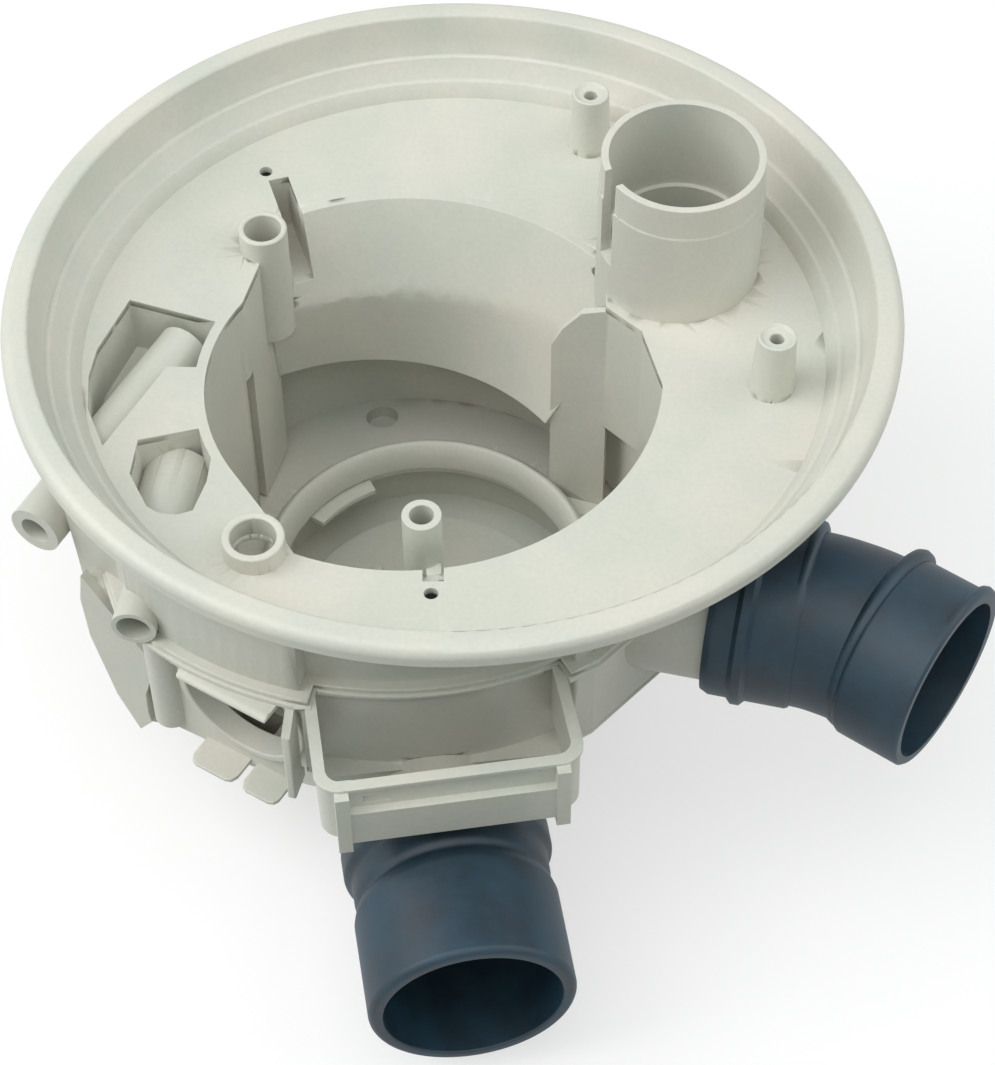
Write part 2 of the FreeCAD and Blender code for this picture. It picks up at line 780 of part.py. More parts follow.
# Right guide blade: an upright blade with a swept top, and the corner wall beside it
blade_run = math.hypot(c.blade_bend_x.value - c.blade_tip_x.value,
                       c.blade_bend_y.value - c.blade_tip_y.value)
blade_heading = math.degrees(math.atan2(c.blade_bend_y.value - c.blade_tip_y.value,
                                        c.blade_bend_x.value - c.blade_tip_x.value))
blade_points = [
    (0, -floor_stand),
    (blade_run + 1.2, -floor_stand),
    (blade_run + 1.2, -c.blade_tip_depth + c.blade_rise),
    (blade_run * 0.55, -c.blade_tip_depth + c.blade_rise * 0.82),
    (blade_run * 0.2, -c.blade_tip_depth + c.blade_rise * 0.4),
    (0, -c.blade_tip_depth),
]
blade = padded("Blade", blade_points, c.wall, x=c.blade_tip_x, y=c.blade_tip_y, role="XZ_Plane",
               rotation=turned(blade_heading))
blade.Tip.Reversed = True
corner_wall = padded("CornerWall", [
    (c.blade_bend_x, c.blade_bend_y),
    (c.blade_wall_x, c.blade_wall_y),
    (c.corner_end_x, c.corner_end_y),
    (c.corner_end_x + c.wall, c.corner_end_y + 0.4),
    (c.blade_wall_x + c.wall * 0.95, c.blade_wall_y + c.wall * 0.45),
    (c.blade_bend_x + c.wall * 0.72, c.blade_bend_y + c.wall * 0.8),
], c.pot_floor_depth, z=-c.pot_floor_depth)
node("right_guide_blade", cut("RightGuide", fuse("RightGuideBlank", blade, corner_wall),
                              above_funnel, well_outer, socket_outer, rear_loft))

# Posts
screw_posts = []
for number, (x, y) in enumerate([(c.rear_screw_x, c.rear_screw_y), (c.side_screw_x, c.side_screw_y)]):
    height = c.floor_depth - c.screw_post_depth + 2
    blank = cone(f"ScrewPost{number}", c.screw_post_foot_radius, c.screw_post_radius, height,
                 x=x, y=y, z=-c.screw_post_depth - height)
    drill = cylinder(f"ScrewPostDrill{number}", c.screw_hole_radius, height, x=x, y=y,
                     z=-c.screw_post_depth - height)
    dish = cylinder(f"ScrewPostDish{number}", c.screw_seat_radius, c.screw_seat_drop, x=x, y=y,
                    z=-c.screw_post_depth - c.screw_seat_drop)
    screw_posts.append(cut(f"ScrewPostBody{number}", blank, drill, dish))
screw_group = doc.addObject("Part::Compound", "ScrewPosts")
screw_group.Links = screw_posts
node("screw_posts", cut("ScrewPostsTrimmed", screw_group, floor_raw, nodes["rim_collar"]))


def hollow_post(name, x, y, radius, bore, foot):
    height = foot - c.post_top_depth
    return tube(name, radius, bore, height, x=x, y=y, z=-foot)


rear_post = hollow_post("RearPost", c.rear_post_x, c.rear_post_y, c.rear_post_radius,
                        c.rear_post_bore, c.rear_post_foot)
rear_post_solid = cylinder("RearPostSolid", c.rear_post_radius, 120, x=c.rear_post_x,
                           y=c.rear_post_y, z=-c.rear_post_foot)
front_post = hollow_post("FrontPost", c.front_post_x, c.front_post_y, c.front_post_radius,
                         c.front_post_bore, c.floor_depth + 1.5)
node("front_locating_post", cut("FrontPostTrimmed", front_post, floor_raw))
latch_post = tube("LatchPost", c.latch_post_radius, c.latch_post_bore,
                  c.latch_post_foot - c.post_top_depth + 1.5, x=c.latch_post_x, y=c.latch_post_y,
                  z=-c.latch_post_foot)
latch_rib = box("LatchRib", c.latch_rib_thick, 9, c.latch_post_foot - c.latch_rib_depth,
                x=c.latch_post_x + 0.8, y=c.latch_post_y - 12.6, z=-c.latch_post_foot)
latch_core = cylinder("LatchCore", c.latch_post_radius - 0.5, 60, x=c.latch_post_x,
                      y=c.latch_post_y, z=-c.latch_post_foot - 1)
node("latch_post", cut("LatchPostTrimmed",
                       fuse("LatchPostBlank", latch_post, cut("LatchRibTrimmed", latch_rib, latch_core)),
                       nodes["well_wall"]))
node("rear_locating_post", cut("RearPostTrimmed", rear_post, slot_cut))
node("left_guide_wall", cut("LeftGuide", fuse("GuideBlank", guide_raw, groove_back), above_funnel,
                            rear_post_solid, groove))
nodes["well_rear_wall"] = cut("WellRearTrim", nodes["well_rear_wall"], rear_post_solid, guide_raw)
nodes["funnel_floor"] = cut("FloorTrim", nodes["funnel_floor"], rear_post_solid)

# Keyway trough: the closed channel under the slot at the left rear
trough_x, trough_y = -59.5 - 0.954 * c.slot_wall, 74.0 + 0.954 * c.slot_wall
slot_block = box("SlotBlock", slot_length - 6 + c.slot_wall, c.slot_width + 2 * c.slot_wall,
                 c.slot_depth - c.floor_depth + c.slot_wall, x=trough_x, y=trough_y,
                 z=-c.slot_depth - c.slot_wall, rotation=slot_turn)
node("keyway_trough", cut("KeywayTrough", slot_block, slot_cut, floor_raw, rear_loft, rear_inside,
                          rear_post_solid, guide_raw, above_funnel))

# Inlet nipples with the trays that they run through
upper_nipple_place = {
    "x": c.upper_nipple_x - c.upper_nipple_length * cosine(c.upper_nipple_azimuth),
    "y": c.upper_nipple_y - c.upper_nipple_length * sine(c.upper_nipple_azimuth),
    "z": -c.upper_nipple_depth,
    "rotation": pointing(c.upper_nipple_azimuth),
}
lower_nipple_place = {
    "x": c.lower_nipple_x - c.lower_nipple_length * cosine(c.lower_nipple_azimuth),
    "y": c.lower_nipple_y - c.lower_nipple_length * sine(c.lower_nipple_azimuth),
    "z": -c.lower_nipple_depth,
    "rotation": pointing(c.lower_nipple_azimuth),
}
upper_nipple_solid = cylinder("UpperNippleSolid", c.upper_nipple_radius, c.upper_nipple_length,
                              **upper_nipple_place)
lower_nipple_root = c.lower_nipple_length - c.lower_nipple_straight
lower_nipple_solid = revolved("LowerNippleSolid", [
    (0, 0),
    (c.lower_nipple_root_radius, 0),
    (c.lower_nipple_root_radius, lower_nipple_root - c.lower_nipple_taper),
    (c.lower_nipple_radius, lower_nipple_root),
    (c.lower_nipple_radius, c.lower_nipple_length),
    (0, c.lower_nipple_length),
], **lower_nipple_place)
upper_nipple = cut("UpperNipple", upper_nipple_solid, guide_raw,
                   cylinder("UpperNippleBore", c.upper_nipple_bore, c.upper_nipple_length - 3,
                            x=c.upper_nipple_x, y=c.upper_nipple_y, z=-c.upper_nipple_depth,
                            rotation=pointing(c.upper_nipple_azimuth + 180)))
lower_nipple = cut("LowerNipple", lower_nipple_solid, guide_raw,
                   cylinder("LowerNippleBore", c.lower_nipple_bore, c.lower_nipple_length - 3,
                            x=c.lower_nipple_x, y=c.lower_nipple_y, z=-c.lower_nipple_depth,
                            rotation=pointing(c.lower_nipple_azimuth + 180)))
node("upper_inlet_nipple", upper_nipple)
node("lower_inlet_nipple", lower_nipple)

# Pot: a round wall with a recess behind the bracket and a flat beside the pressure spigot


def pot_disc(name, set_in, z, height):
    """A solid disc with the pot's plan outline, drawn in by a distance."""
    set_in = term(set_in)
    radius = c.pot_radius - set_in
    lead = set_in.value / c.recess_radius.value * 57.3
    disc = cylinder(f"{name}Disc", radius, height, z=z, **pot)
    sector = cylinder(f"{name}Sector", radius + 10, height + 2, z=z - 1,
                      rotation=turned(c.recess_start - lead), span=c.recess_span + 2 * lead, **pot)
    core = cylinder(f"{name}Core", c.recess_radius - set_in, height + 4, z=z - 2, **pot)
    flats = []
    for side, azimuth, reach in (("Right", c.right_flat_azimuth, c.right_flat),
                                 ("Left", c.left_flat_azimuth, c.left_flat)):
        x, y = along(azimuth, c.pot_x, c.pot_y, reach - set_in, -80)
        flats.append(box(f"{name}{side}Flat", 40, 160, height + 2, x=x, y=y, z=z - 1,
                         rotation=turned(azimuth)))
    return cut(f"{name}Outline", disc, cut(f"{name}Recess", sector, core), *flats)


pot_height = c.pot_floor_depth - c.seam_depth - 2 * c.seam_bead
pot_outer = pot_disc("PotOuter", term(0), -c.pot_floor_depth, pot_height)
pot_inner = pot_disc("PotInner", c.wall, -c.pot_floor_depth - 1, pot_height + 2)
skirt_height = c.seam_depth
skirt_outer = pot_disc("SkirtOuter", c.skirt_set_in, -c.seam_depth, skirt_height)
skirt_inner = pot_disc("SkirtInner", c.skirt_set_in + c.wall, -c.seam_depth - 1, skirt_height + 2)

skirt_outer_ring = cut("SkirtRing", skirt_outer, skirt_inner)

# Flanges of the weld seam between skirt and pot
bead_in = c.skirt_set_in + c.wall


def seam_ring(name, proud, z):
    """One flange of the seam, following the pot's outline."""
    outer = pot_disc(f"{name}Outer", -proud, z, c.seam_bead)
    inner = pot_disc(f"{name}Inner", bead_in, z - 1, c.seam_bead + 2)
    return cut(name, outer, inner)


upper_flange = seam_ring("UpperFlange", c.seam_proud * 0.4, -c.seam_depth - c.seam_bead)
lower_flange = seam_ring("LowerFlange", c.seam_proud, -c.seam_depth - 2 * c.seam_bead)

# Space of the suction spigot
suction_turn = pointing(c.suction_azimuth)
suction_start_x, suction_start_y = along(c.suction_azimuth, c.suction_x, c.suction_y,
                                         -c.suction_length)
suction_root_x, suction_root_y = along(c.suction_azimuth, c.suction_x, c.suction_y,
                                       -c.suction_length - c.suction_spigot_root)
suction_spigot_length = c.suction_spigot_overlap + c.suction_spigot_root
suction_place = {"x": suction_root_x, "y": suction_root_y, "z": -c.suction_depth,
                 "rotation": suction_turn}
suction_solid = cylinder("SuctionSolid", c.suction_spigot_radius, suction_spigot_length,
                         **suction_place)
suction_hole = cylinder("SuctionHole", c.suction_spigot_bore, suction_spigot_length,
                        **suction_place)

# Drain pump chamber: a hollow block under the lower nipple, with the pump's round port
block_low = 104.0
block_turn = turned(c.drain_azimuth - 90)


def across_drain(points, near, far, name):
    """A prism through the drain side, its profile given as (distance out, height)."""
    x, y = along(c.drain_azimuth, c.pot_x, c.pot_y, 0, near)
    return padded(name, points, far + near, x=x, y=y, role="XZ_Plane",
                  rotation=turned(c.drain_azimuth))


BLOCK_FACE = [
    (-33, -99), (-21, -104), (-7, -107), (9, -105.5), (20, -106.5), (30, -112), (38, -100),
    (44, -75), (45, -58), (44, -49), (36, -51.6), (-33, -51.6),
]
block_inside = [(x * 0.93 + 0.2, (z + 79) * 0.9 - 79) for x, z in BLOCK_FACE]
block_x, block_y = along(c.drain_azimuth, c.pot_x, c.pot_y, c.drain_face)
inside_x, inside_y = along(c.drain_azimuth, c.pot_x, c.pot_y, c.drain_face - c.wall)
drain_outer = padded("DrainOuter", BLOCK_FACE, 30, x=block_x, y=block_y, role="XZ_Plane",
                     rotation=block_turn)
drain_inner = padded("DrainInner", block_inside, 25, x=inside_x, y=inside_y, role="XZ_Plane",
                     rotation=block_turn)
web_x, web_y = along(c.drain_azimuth, c.pot_x, c.pot_y, c.drain_face + 3)
drain_web = padded("DrainWeb", [
    (31.4, -113.5), (38.5, -100), (45, -75), (46, -58), (44.0, -45.5), (34, -57.8), (24, -70),
    (20, -66), (17.5, -67), (24.2, -84.3), (26.6, -92), (27, -101.3), (26.2, -106),
], 3, x=web_x, y=web_y, role="XZ_Plane", rotation=block_turn)
brow_x, brow_y = along(c.drain_azimuth, c.pot_x, c.pot_y, c.drain_face - c.brow_set_in)
drain_brow = padded("DrainBrow", [
    (49.6, -56), (50.3, -45), (51.8, -28), (53.0, -14), (47, -14), (36, -28), (30, -60), (44, -66),
], c.brow_thick, x=brow_x, y=brow_y, role="XZ_Plane", rotation=block_turn)
column_x, column_y = along(c.drain_azimuth, c.pot_x, c.pot_y, c.drain_face - 1, -c.column_offset)
drain_column = cylinder("DrainColumn", c.column_radius, c.column_height, x=column_x, y=column_y,
                        z=-c.column_foot)
hood_floor = -c.seam_depth - 2 * c.seam_bead
fin_x, fin_y = along(c.fin_azimuth, c.pot_x, c.pot_y, c.pot_radius - 2, c.fin_thick / 2)
fin_top = -c.seam_depth - 2 * c.seam_bead
fin_solid = padded("Fin", [
    (0, fin_top),
    (0, fin_top - c.fin_length),
    (c.fin_proud + 2, fin_top - c.fin_length),
    (c.fin_proud + 2, fin_top - c.fin_slope),
    (3.0, fin_top),
], c.fin_thick, x=fin_x, y=fin_y, role="XZ_Plane", rotation=turned(c.fin_azimuth))
front_x, front_y = along(c.drain_azimuth, c.pot_x, c.pot_y, c.drain_face, -46)
drain_front = box("DrainFrontSpace", 30, 80, 60, x=front_x, y=front_y,
                  z=hood_floor - 60, rotation=turned(c.drain_azimuth))
hood_blank = across_drain([
    (c.pot_radius - 4.9, hood_floor),
    (c.pot_radius + 1.6, hood_floor),
    (c.hood_reach, hood_floor - c.hood_thick / 2),
    (c.hood_reach, hood_floor - c.hood_thick),
    (c.pot_radius - 4.9, hood_floor - c.hood_thick),
], 28, 3, "HoodBlank")
port_x, port_y = along(c.drain_azimuth, c.pot_x, c.pot_y, c.drain_face - 6, -c.port_offset)
port_turn = pointing(c.drain_azimuth)
port_solid = cylinder("PortSolid", c.port_radius, 6 + c.port_proud, x=port_x, y=port_y,
                      z=-c.drain_depth, rotation=port_turn)
port_hole = cylinder("PortHole", c.port_bore, 12 + c.port_proud, x=port_x, y=port_y,
                     z=-c.drain_depth, rotation=port_turn)
chamber_solid = cylinder("ChamberSolid", c.chamber_radius + c.wall, c.chamber_foot,
                         z=-c.chamber_foot, **pot)
chamber_space = cylinder("ChamberSpace", c.chamber_radius, 200, z=-200, **pot)
chamber_space_wide = cylinder("ChamberSpaceWide", c.chamber_radius, 90, z=-200, **pot)
node("pump_port", cut("PumpPort", port_solid, port_hole))
node("port_hood", cut("PortHood", hood_blank, drain_outer, drain_web, drain_brow, port_solid,
                      fin_solid))

# Passage from the cup up to the pump chamber
cup_solid = cylinder("CupSolid", c.cup_radius + c.wall, 40, z=-c.cup_floor_depth - 15, **seat)
cup_low = -c.cup_floor_depth
passage_top = cup_low + c.passage_height
passage_outer = across_drain([
    (48, cup_low - c.wall), (68, cup_low - c.wall), (80, cup_low + 9), (93, -113), (93, -block_low),
    (74, -block_low), (74, passage_top + c.wall), (48, passage_top + c.wall),
], 12, 10, "PassageOuter")
passage_inner = across_drain([
    (46, cup_low), (66.9, cup_low), (78, cup_low + 10.6), (90.5, -112.3), (90.5, -97), (81.0, -97),
    (81.0, passage_top), (46, passage_top),
], 9.5, 7.5, "PassageInner")
node("drain_passage", cut("DrainPassage", passage_outer, passage_inner, chamber_solid, cup_solid,
                          drain_outer))

# Drain outlet: a hose nozzle with a valve seat inside, its flap and the flap's pin
outlet_turn = pointing(c.outlet_azimuth)
outlet = {"x": c.outlet_x, "y": c.outlet_y, "z": -c.outlet_depth, "rotation": outlet_turn}
outlet_solid = cylinder("OutletSolid", c.outlet_root_radius, c.outlet_root_length, **outlet)
outlet_profile = [
    (c.valve_seat_bore, 0),
    (c.outlet_root_radius, 0),
    (c.outlet_root_radius, c.outlet_root_length),
    (c.outlet_radius, c.outlet_root_length),
    (c.outlet_radius, c.outlet_length - 2),
    (c.outlet_radius - 0.6, c.outlet_length),
    (c.outlet_bore, c.outlet_length),
    (c.outlet_bore, c.valve_seat_thick),
    (c.valve_seat_bore, c.valve_seat_thick),
]
outlet_tube = revolved("OutletTube", outlet_profile, **outlet)
hose_x, hose_y = along(c.outlet_azimuth, c.outlet_x, c.outlet_y, c.outlet_root_length - 0.5)
hose_space = cylinder("HoseSpace", c.outlet_radius + c.hose_room, 60, x=hose_x, y=hose_y,
                      z=-c.outlet_depth, rotation=outlet_turn)
hinge_reach = c.valve_seat_thick + c.flap_gap + c.hinge_barrel_radius
hinge_x, hinge_y = along(c.outlet_azimuth, c.outlet_x, c.outlet_y, hinge_reach)
hinge_z = c.hinge_rise - c.outlet_depth
cross = c.outlet_azimuth + 90


def hinge_rod(name, radius, length):
    """A rod along the flap's hinge line, centred on the nozzle."""
    x, y = along(cross, hinge_x, hinge_y, -length / 2)
    return cylinder(name, radius, length, x=x, y=y, z=hinge_z, rotation=pointing(cross))


pin = hinge_rod("FlapPin", c.pin_radius, c.pin_length)
node("flap_pin", pin)
node("drain_outlet", cut("DrainOutlet", outlet_tube, pin))
flap_x, flap_y = along(c.outlet_azimuth, c.outlet_x, c.outlet_y, c.valve_seat_thick + c.flap_gap)
flap_disc = cylinder("FlapDisc", c.flap_radius, c.flap_thick, x=flap_x, y=flap_y,
                     z=-c.outlet_depth, rotation=outlet_turn)
flap_trim = cylinder("FlapTrimRound", 12, 12, x=flap_x, y=flap_y, z=hinge_z)
flap_barrel = hinge_rod("FlapBarrel", c.hinge_barrel_radius, c.hinge_barrel_length)
flap_bore = hinge_rod("FlapBore", c.pin_radius + c.pin_clearance, c.hinge_barrel_length + 4)
node("non_return_flap", cut("Flap", fuse("FlapBlank", cut("FlapPlate", flap_disc, flap_trim),
                                         flap_barrel), flap_bore))

drain_brow = cut("DrainBrowTrim", drain_brow, skirt_outer, upper_flange, lower_flange,
                 above_funnel)
node("drain_chamber", cut("DrainChamber",
                          fuse("DrainBlank", drain_outer, drain_web, drain_brow, drain_column),
                          drain_inner,
                          port_solid, chamber_solid, lower_nipple_solid, upper_nipple_solid,
                          outlet_solid, passage_inner, well_outer, front_tray_solid, upper_flange,
                          lower_flange, suction_solid, hose_space))

# Pot floor, chamber wall and chamber floor
pressure_end_x, pressure_end_y = along(c.pressure_end_azimuth, c.pressure_x, c.pressure_y,
                                       -c.pressure_barrel_length)
sleeve_x, sleeve_y = c.pressure_neck_x, c.pressure_neck_y
spigot_length = c.pressure_spigot_overlap + c.pressure_spigot_root
spigot_x, spigot_y = along(c.pressure_start_azimuth, sleeve_x, sleeve_y, -c.pressure_spigot_root)
pressure_place = {"x": spigot_x, "y": spigot_y, "z": -c.pressure_depth,
                  "rotation": pointing(c.pressure_start_azimuth)}
pressure_solid = cylinder("PressureSolid", c.pressure_bore, spigot_length, **pressure_place)
pressure_hole = cylinder("PressureHole", c.pressure_spigot_bore, spigot_length, **pressure_place)

floor_plate = pot_disc("PotFloorPlate", 0, -c.pot_floor_depth - c.wall, c.wall)
floor_tongue = padded("FloorTongue", [
    (-39.4, -98),
    (-38.6, -114.5),
    (31.0, -106.5),
    (28.4, -90),
], c.wall, z=-c.pot_floor_depth - 2 * c.wall)
node("pot_floor", cut("PotFloor", fuse("PotFloorBlank", floor_plate, floor_tongue), chamber_solid,
                      drain_outer, drain_front, suction_solid))
node("chamber_wall", cut("ChamberWall", cylinder("ChamberTube", c.chamber_radius + c.wall,
                                                 c.chamber_foot - c.pot_floor_depth,
                                                 z=-c.chamber_foot, **pot),
                         chamber_space, suction_solid, outlet_solid))
chamber_cone = revolved("ChamberCone", [
    (c.cup_radius, -c.chamber_floor_depth + 1),
    (88, -c.chamber_floor_depth - 3.5),
    (88, -c.chamber_floor_depth - 3.5 - c.wall),
    (c.cup_radius, -c.chamber_floor_depth + 1 - c.wall),
], **seat)
dish = {"x": c.dish_x, "y": c.dish_y}
dish_low = -c.chamber_floor_depth - c.dish_depth
dish_space = cylinder("DishSpace", c.dish_radius, c.dish_depth + 5, z=dish_low, **dish)
dish_shell = cylinder("DishShell", c.dish_radius + c.thin_wall, c.dish_depth - 2,
                      z=dish_low - c.thin_wall, **dish)
floor_disc = common("ChamberFloorDisc", chamber_cone, chamber_space)
node("chamber_floor", cut("ChamberFloor", fuse("ChamberFloorBlank", floor_disc, dish_shell),
                          dish_space, suction_solid))
cone_over_floor = revolved("ConeOverFloor", [
    (c.cup_radius, -c.chamber_floor_depth + 10),
    (c.cup_radius, -c.chamber_floor_depth + 1 - c.wall),
    (88, -c.chamber_floor_depth - 3.5 - c.wall),
    (88, -c.chamber_floor_depth + 10),
], **seat)

# Filter seat with three bayonet lugs, and the drain cup below it
seat_ring = revolved("SeatRing", [
    (c.cup_radius, -c.seat_lip_depth),
    (c.cup_radius, -c.chamber_floor_depth + 1),
    (c.seat_crest_radius + 2.6, -c.seat_crest_depth - 2.5),
    (c.seat_crest_radius + 1.0, -c.seat_crest_depth - 0.4),
    (c.seat_crest_radius, -c.seat_crest_depth),
    (c.seat_crest_radius - 1.2, -c.seat_crest_depth - 0.4),
    (c.seat_crest_radius - 2.2, -c.seat_crest_depth - 1.8),
    (c.seat_radius, -c.seat_bore_depth + c.seat_bore_height),
    (c.seat_radius, -c.seat_bore_depth),
    (c.seat_radius + c.seat_relief, -c.seat_bore_depth - 0.5),
    (c.seat_radius + c.seat_relief, -c.seat_lip_depth),
], **seat)
lugs = []
for number, azimuth in enumerate((115.0, 355.0, 235.0)):
    wedge = cylinder(f"SeatLug{number}", c.seat_radius + c.seat_relief + 0.5, 2.2, z=-c.seat_lip_depth + 0.3,
                     rotation=turned(azimuth), span=30, **seat)
    hollow = cylinder(f"SeatLugInner{number}", c.seat_radius - 4.5, 8, z=-c.seat_lip_depth - 3, **seat)
    lugs.append(cut(f"SeatLugCut{number}", wedge, hollow))
node("filter_seat", fuse("FilterSeat", seat_ring, *lugs))
cup_floor = cylinder("CupFloor", c.cup_radius + c.wall, c.wall, z=-c.cup_floor_depth - c.wall, **seat)
cup_wall = tube("CupWall", c.cup_radius + c.wall, c.cup_radius,
                c.cup_floor_depth - c.chamber_floor_depth + 1, z=-c.cup_floor_depth, **seat)
cup_disc = cylinder("CupDisc", c.disc_radius, c.cup_floor_depth + c.wall - c.disc_depth,
                    z=-c.cup_floor_depth - c.wall, **seat)
cup_under = cylinder("CupUnder", c.disc_radius - c.wall,
                     c.cup_floor_depth - c.disc_depth, z=-c.cup_floor_depth - c.wall, **seat)
cup_fin = box("CupFin", 2.4, 6, 8, x=-28.2, y=-2.1, z=-c.disc_depth)
node("drain_cup", cut("DrainCup", fuse("CupBlank", cup_floor, cup_wall, cup_disc, cup_fin),
                      cup_under, cone_over_floor, passage_inner))


# Snap tabs, the fin beside the guard, and the pocket trays


def port_tab(name, left, width):
    """A snap tab with rounded corners, standing out under the pump port."""
    x, y = along(c.drain_azimuth, c.pot_x, c.pot_y, c.drain_face, left)
    reach = c.port_tab_length
    corner = c.port_tab_round
    return padded(name, [
        (0, 0),
        (reach - corner, 0),
        (reach - 0.3 * corner, 0.3 * corner),
        (reach, corner),
        (reach, width - corner),
        (reach - 0.3 * corner, width - 0.3 * corner),
        (reach - corner, width),
        (0, width),
    ], c.port_tab_thick, x=x, y=y, z=-c.port_tab_depth - c.port_tab_thick,
        rotation=turned(c.drain_azimuth))


port_tabs = doc.addObject("Part::Compound", "PortTabs")
port_tabs.Links = [port_tab("PortTab0", -7, 16), port_tab("PortTab1", 11.5, 13)]
node("port_snap_tabs", port_tabs)
node("locating_fin", cut("LocatingFin", fin_solid, pot_outer, floor_plate, drain_outer, port_solid))


def tray(name, outer, hollow):
    return cut(name, outer, hollow, above_funnel, upper_nipple_solid, lower_nipple_solid,
               skirt_outer_ring, guide_raw, guide_full)


node("rear_pocket_tray", tray("RearTray", rear_tray_solid, rear_pocket))
node("front_pocket_tray", tray("FrontTray", front_tray_solid, front_pocket))

# Feed duct: a channel under the funnel from the pressure spigot to the feed socket
duct_height = c.duct_floor - c.duct_top
duct_start = 300.0
duct_span = 97.0


def channel(name, set_in):
    """The channel's solid, drawn in by a distance."""
    set_in = term(set_in)
    lead = set_in.value * 0.7
    wedge = cylinder(f"{name}Wedge", 140, duct_height - 2 * set_in, z=-c.duct_floor + set_in,
                     rotation=turned(duct_start + lead), span=duct_span - 2 * lead, **well)
    inner = cylinder(f"{name}Inner", c.duct_inner + set_in, 100, z=-100, **well)
    limit = cylinder(f"{name}Limit", c.duct_outer - set_in, 100, z=-100, **pot)
    return common(f"{name}Channel", cut(f"{name}Ring", wedge, inner), limit)


duct_bulge = cylinder("DuctBulge", c.socket_foot_radius, c.duct_floor - c.socket_foot_depth,
                      z=-c.duct_floor, **socket)
duct_bulge_space = cylinder("DuctBulgeSpace", c.socket_radius - c.wall,
                            c.duct_floor - c.socket_foot_depth, z=-c.duct_floor + c.wall, **socket)
duct_solid = fuse("DuctSolid", channel("Duct", 0), duct_bulge)
duct_space = fuse("DuctSpace", channel("DuctSpace", c.wall), duct_bulge_space)
node("feed_duct", cut("FeedDuct", duct_solid, duct_space, socket_outer, pressure_solid, well_outer,
                      rear_loft, nodes["right_guide_blade"], skirt_outer_ring))

node("upper_skirt", cut("UpperSkirt", skirt_outer, skirt_inner, above_funnel, socket_outer,
                        upper_nipple_solid, lower_nipple_solid, pressure_solid))
node("upper_seam_flange", cut("UpperFlangeTrim", upper_flange, pressure_solid, duct_bulge,
                              lower_nipple_solid))
node("lower_seam_flange", cut("LowerFlangeTrim", lower_flange, pressure_solid, duct_bulge,
                              lower_nipple_solid))
node("pot_wall", cut("PotWall", pot_outer, pot_inner, drain_outer, drain_front, drain_brow,
                     pressure_solid, duct_bulge))

# Front bracket: a U-shaped guard with a top band, a stepped face and two posts


def offset_path(points, distance):
    """An open polyline moved to its left by a distance, corners mitred."""
    moved = []
    for index, (x, y) in enumerate(points):
        normals = []
        for first, second in ((index - 1, index), (index, index + 1)):
            if first < 0 or second >= len(points):
                continue
            run_x = points[second][0] - points[first][0]
            run_y = points[second][1] - points[first][1]
            run = math.hypot(run_x, run_y)
            normals.append((-run_y / run, run_x / run))
        if len(normals) == 1:
            step_x, step_y = normals[0]
        else:
            total_x = normals[0][0] + normals[1][0]
            total_y = normals[0][1] + normals[1][1]
            scale = 2 / (total_x ** 2 + total_y ** 2)
            step_x, step_y = total_x * scale, total_y * scale
        moved.append((x + step_x * distance, y + step_y * distance))
    return moved


bracket_path = [
    (-43.6, -103.0),
    (c.bracket_left_x.value, c.bracket_left_y.value),
    (c.bracket_right_x.value, c.bracket_right_y.value),
    (30.2, -94.0),
]
bracket_low = -c.bracket_depth - c.bracket_height


def bracket_ring(name, out, inward, z, height):
    """The guard's plan as a strip, its outside grown by one distance and inside by another."""
    outer = offset_path(bracket_path, -out)
    inner = offset_path(bracket_path, inward)
    body = padded(name, outer + inner[::-1], height, z=z)
    doc.recompute()
    corners = []
    for number, edge in enumerate(body.Shape.Edges, start=1):
        first, second = edge.Vertexes[0].Point, edge.Vertexes[-1].Point
        upright = math.hypot(first.x - second.x, first.y - second.y) < 0.01
        for x, y in (outer[1], outer[2]):
            if upright and math.hypot(first.x - x, first.y - y) < 0.01:
                corners.append(f"Edge{number}")
    last = body.Tip
    soften = body.newObject("PartDesign::Fillet", f"{name}_corners")
    soften.Base = (last, corners)
    bind(soften, "Radius", c.bracket_round + out)
    doc.recompute()
    base = body.Tip
    corners = []
    for number, edge in enumerate(base.Shape.Edges, start=1):
        first, second = edge.Vertexes[0].Point, edge.Vertexes[-1].Point
        upright = math.hypot(first.x - second.x, first.y - second.y) < 0.01
        for x, y in (inner[1], inner[2]):
            if upright and math.hypot(first.x - x, first.y - y) < 0.01:
                corners.append(f"Edge{number}")
    soften = body.newObject("PartDesign::Fillet", f"{name}_inner_corners")
    soften.Base = (base, corners)
    bind(soften, "Radius", c.bracket_round - 2.6)
    doc.recompute()
    return body


bracket_wall = bracket_ring("BracketWall", -0.8, 3.2, bracket_low, c.bracket_height)
bracket_band = bracket_ring("BracketBand", 0, 3.4, -c.bracket_depth - c.bracket_band,
                            c.bracket_band)
bar_run = math.hypot(bracket_path[2][0] - bracket_path[1][0], bracket_path[2][1] - bracket_path[1][1])
bar_heading = math.degrees(math.atan2(bracket_path[2][1] - bracket_path[1][1],
                                      bracket_path[2][0] - bracket_path[1][0]))
bar_turn = turned(bar_heading)


def on_bar(distance, out):
    """A plan point along the bar's face, and out from it."""
    turn = math.radians(bar_heading)
    x = c.bracket_left_x + distance * math.cos(turn) + out * math.sin(turn)
    y = c.bracket_left_y + distance * math.sin(turn) - out * math.cos(turn)
    return x, y


def bar_block(name, start, length, out, thick, z, height):
    x, y = on_bar(start, out)
    return box(name, length, thick, height, x=x, y=y, z=z, rotation=bar_turn)


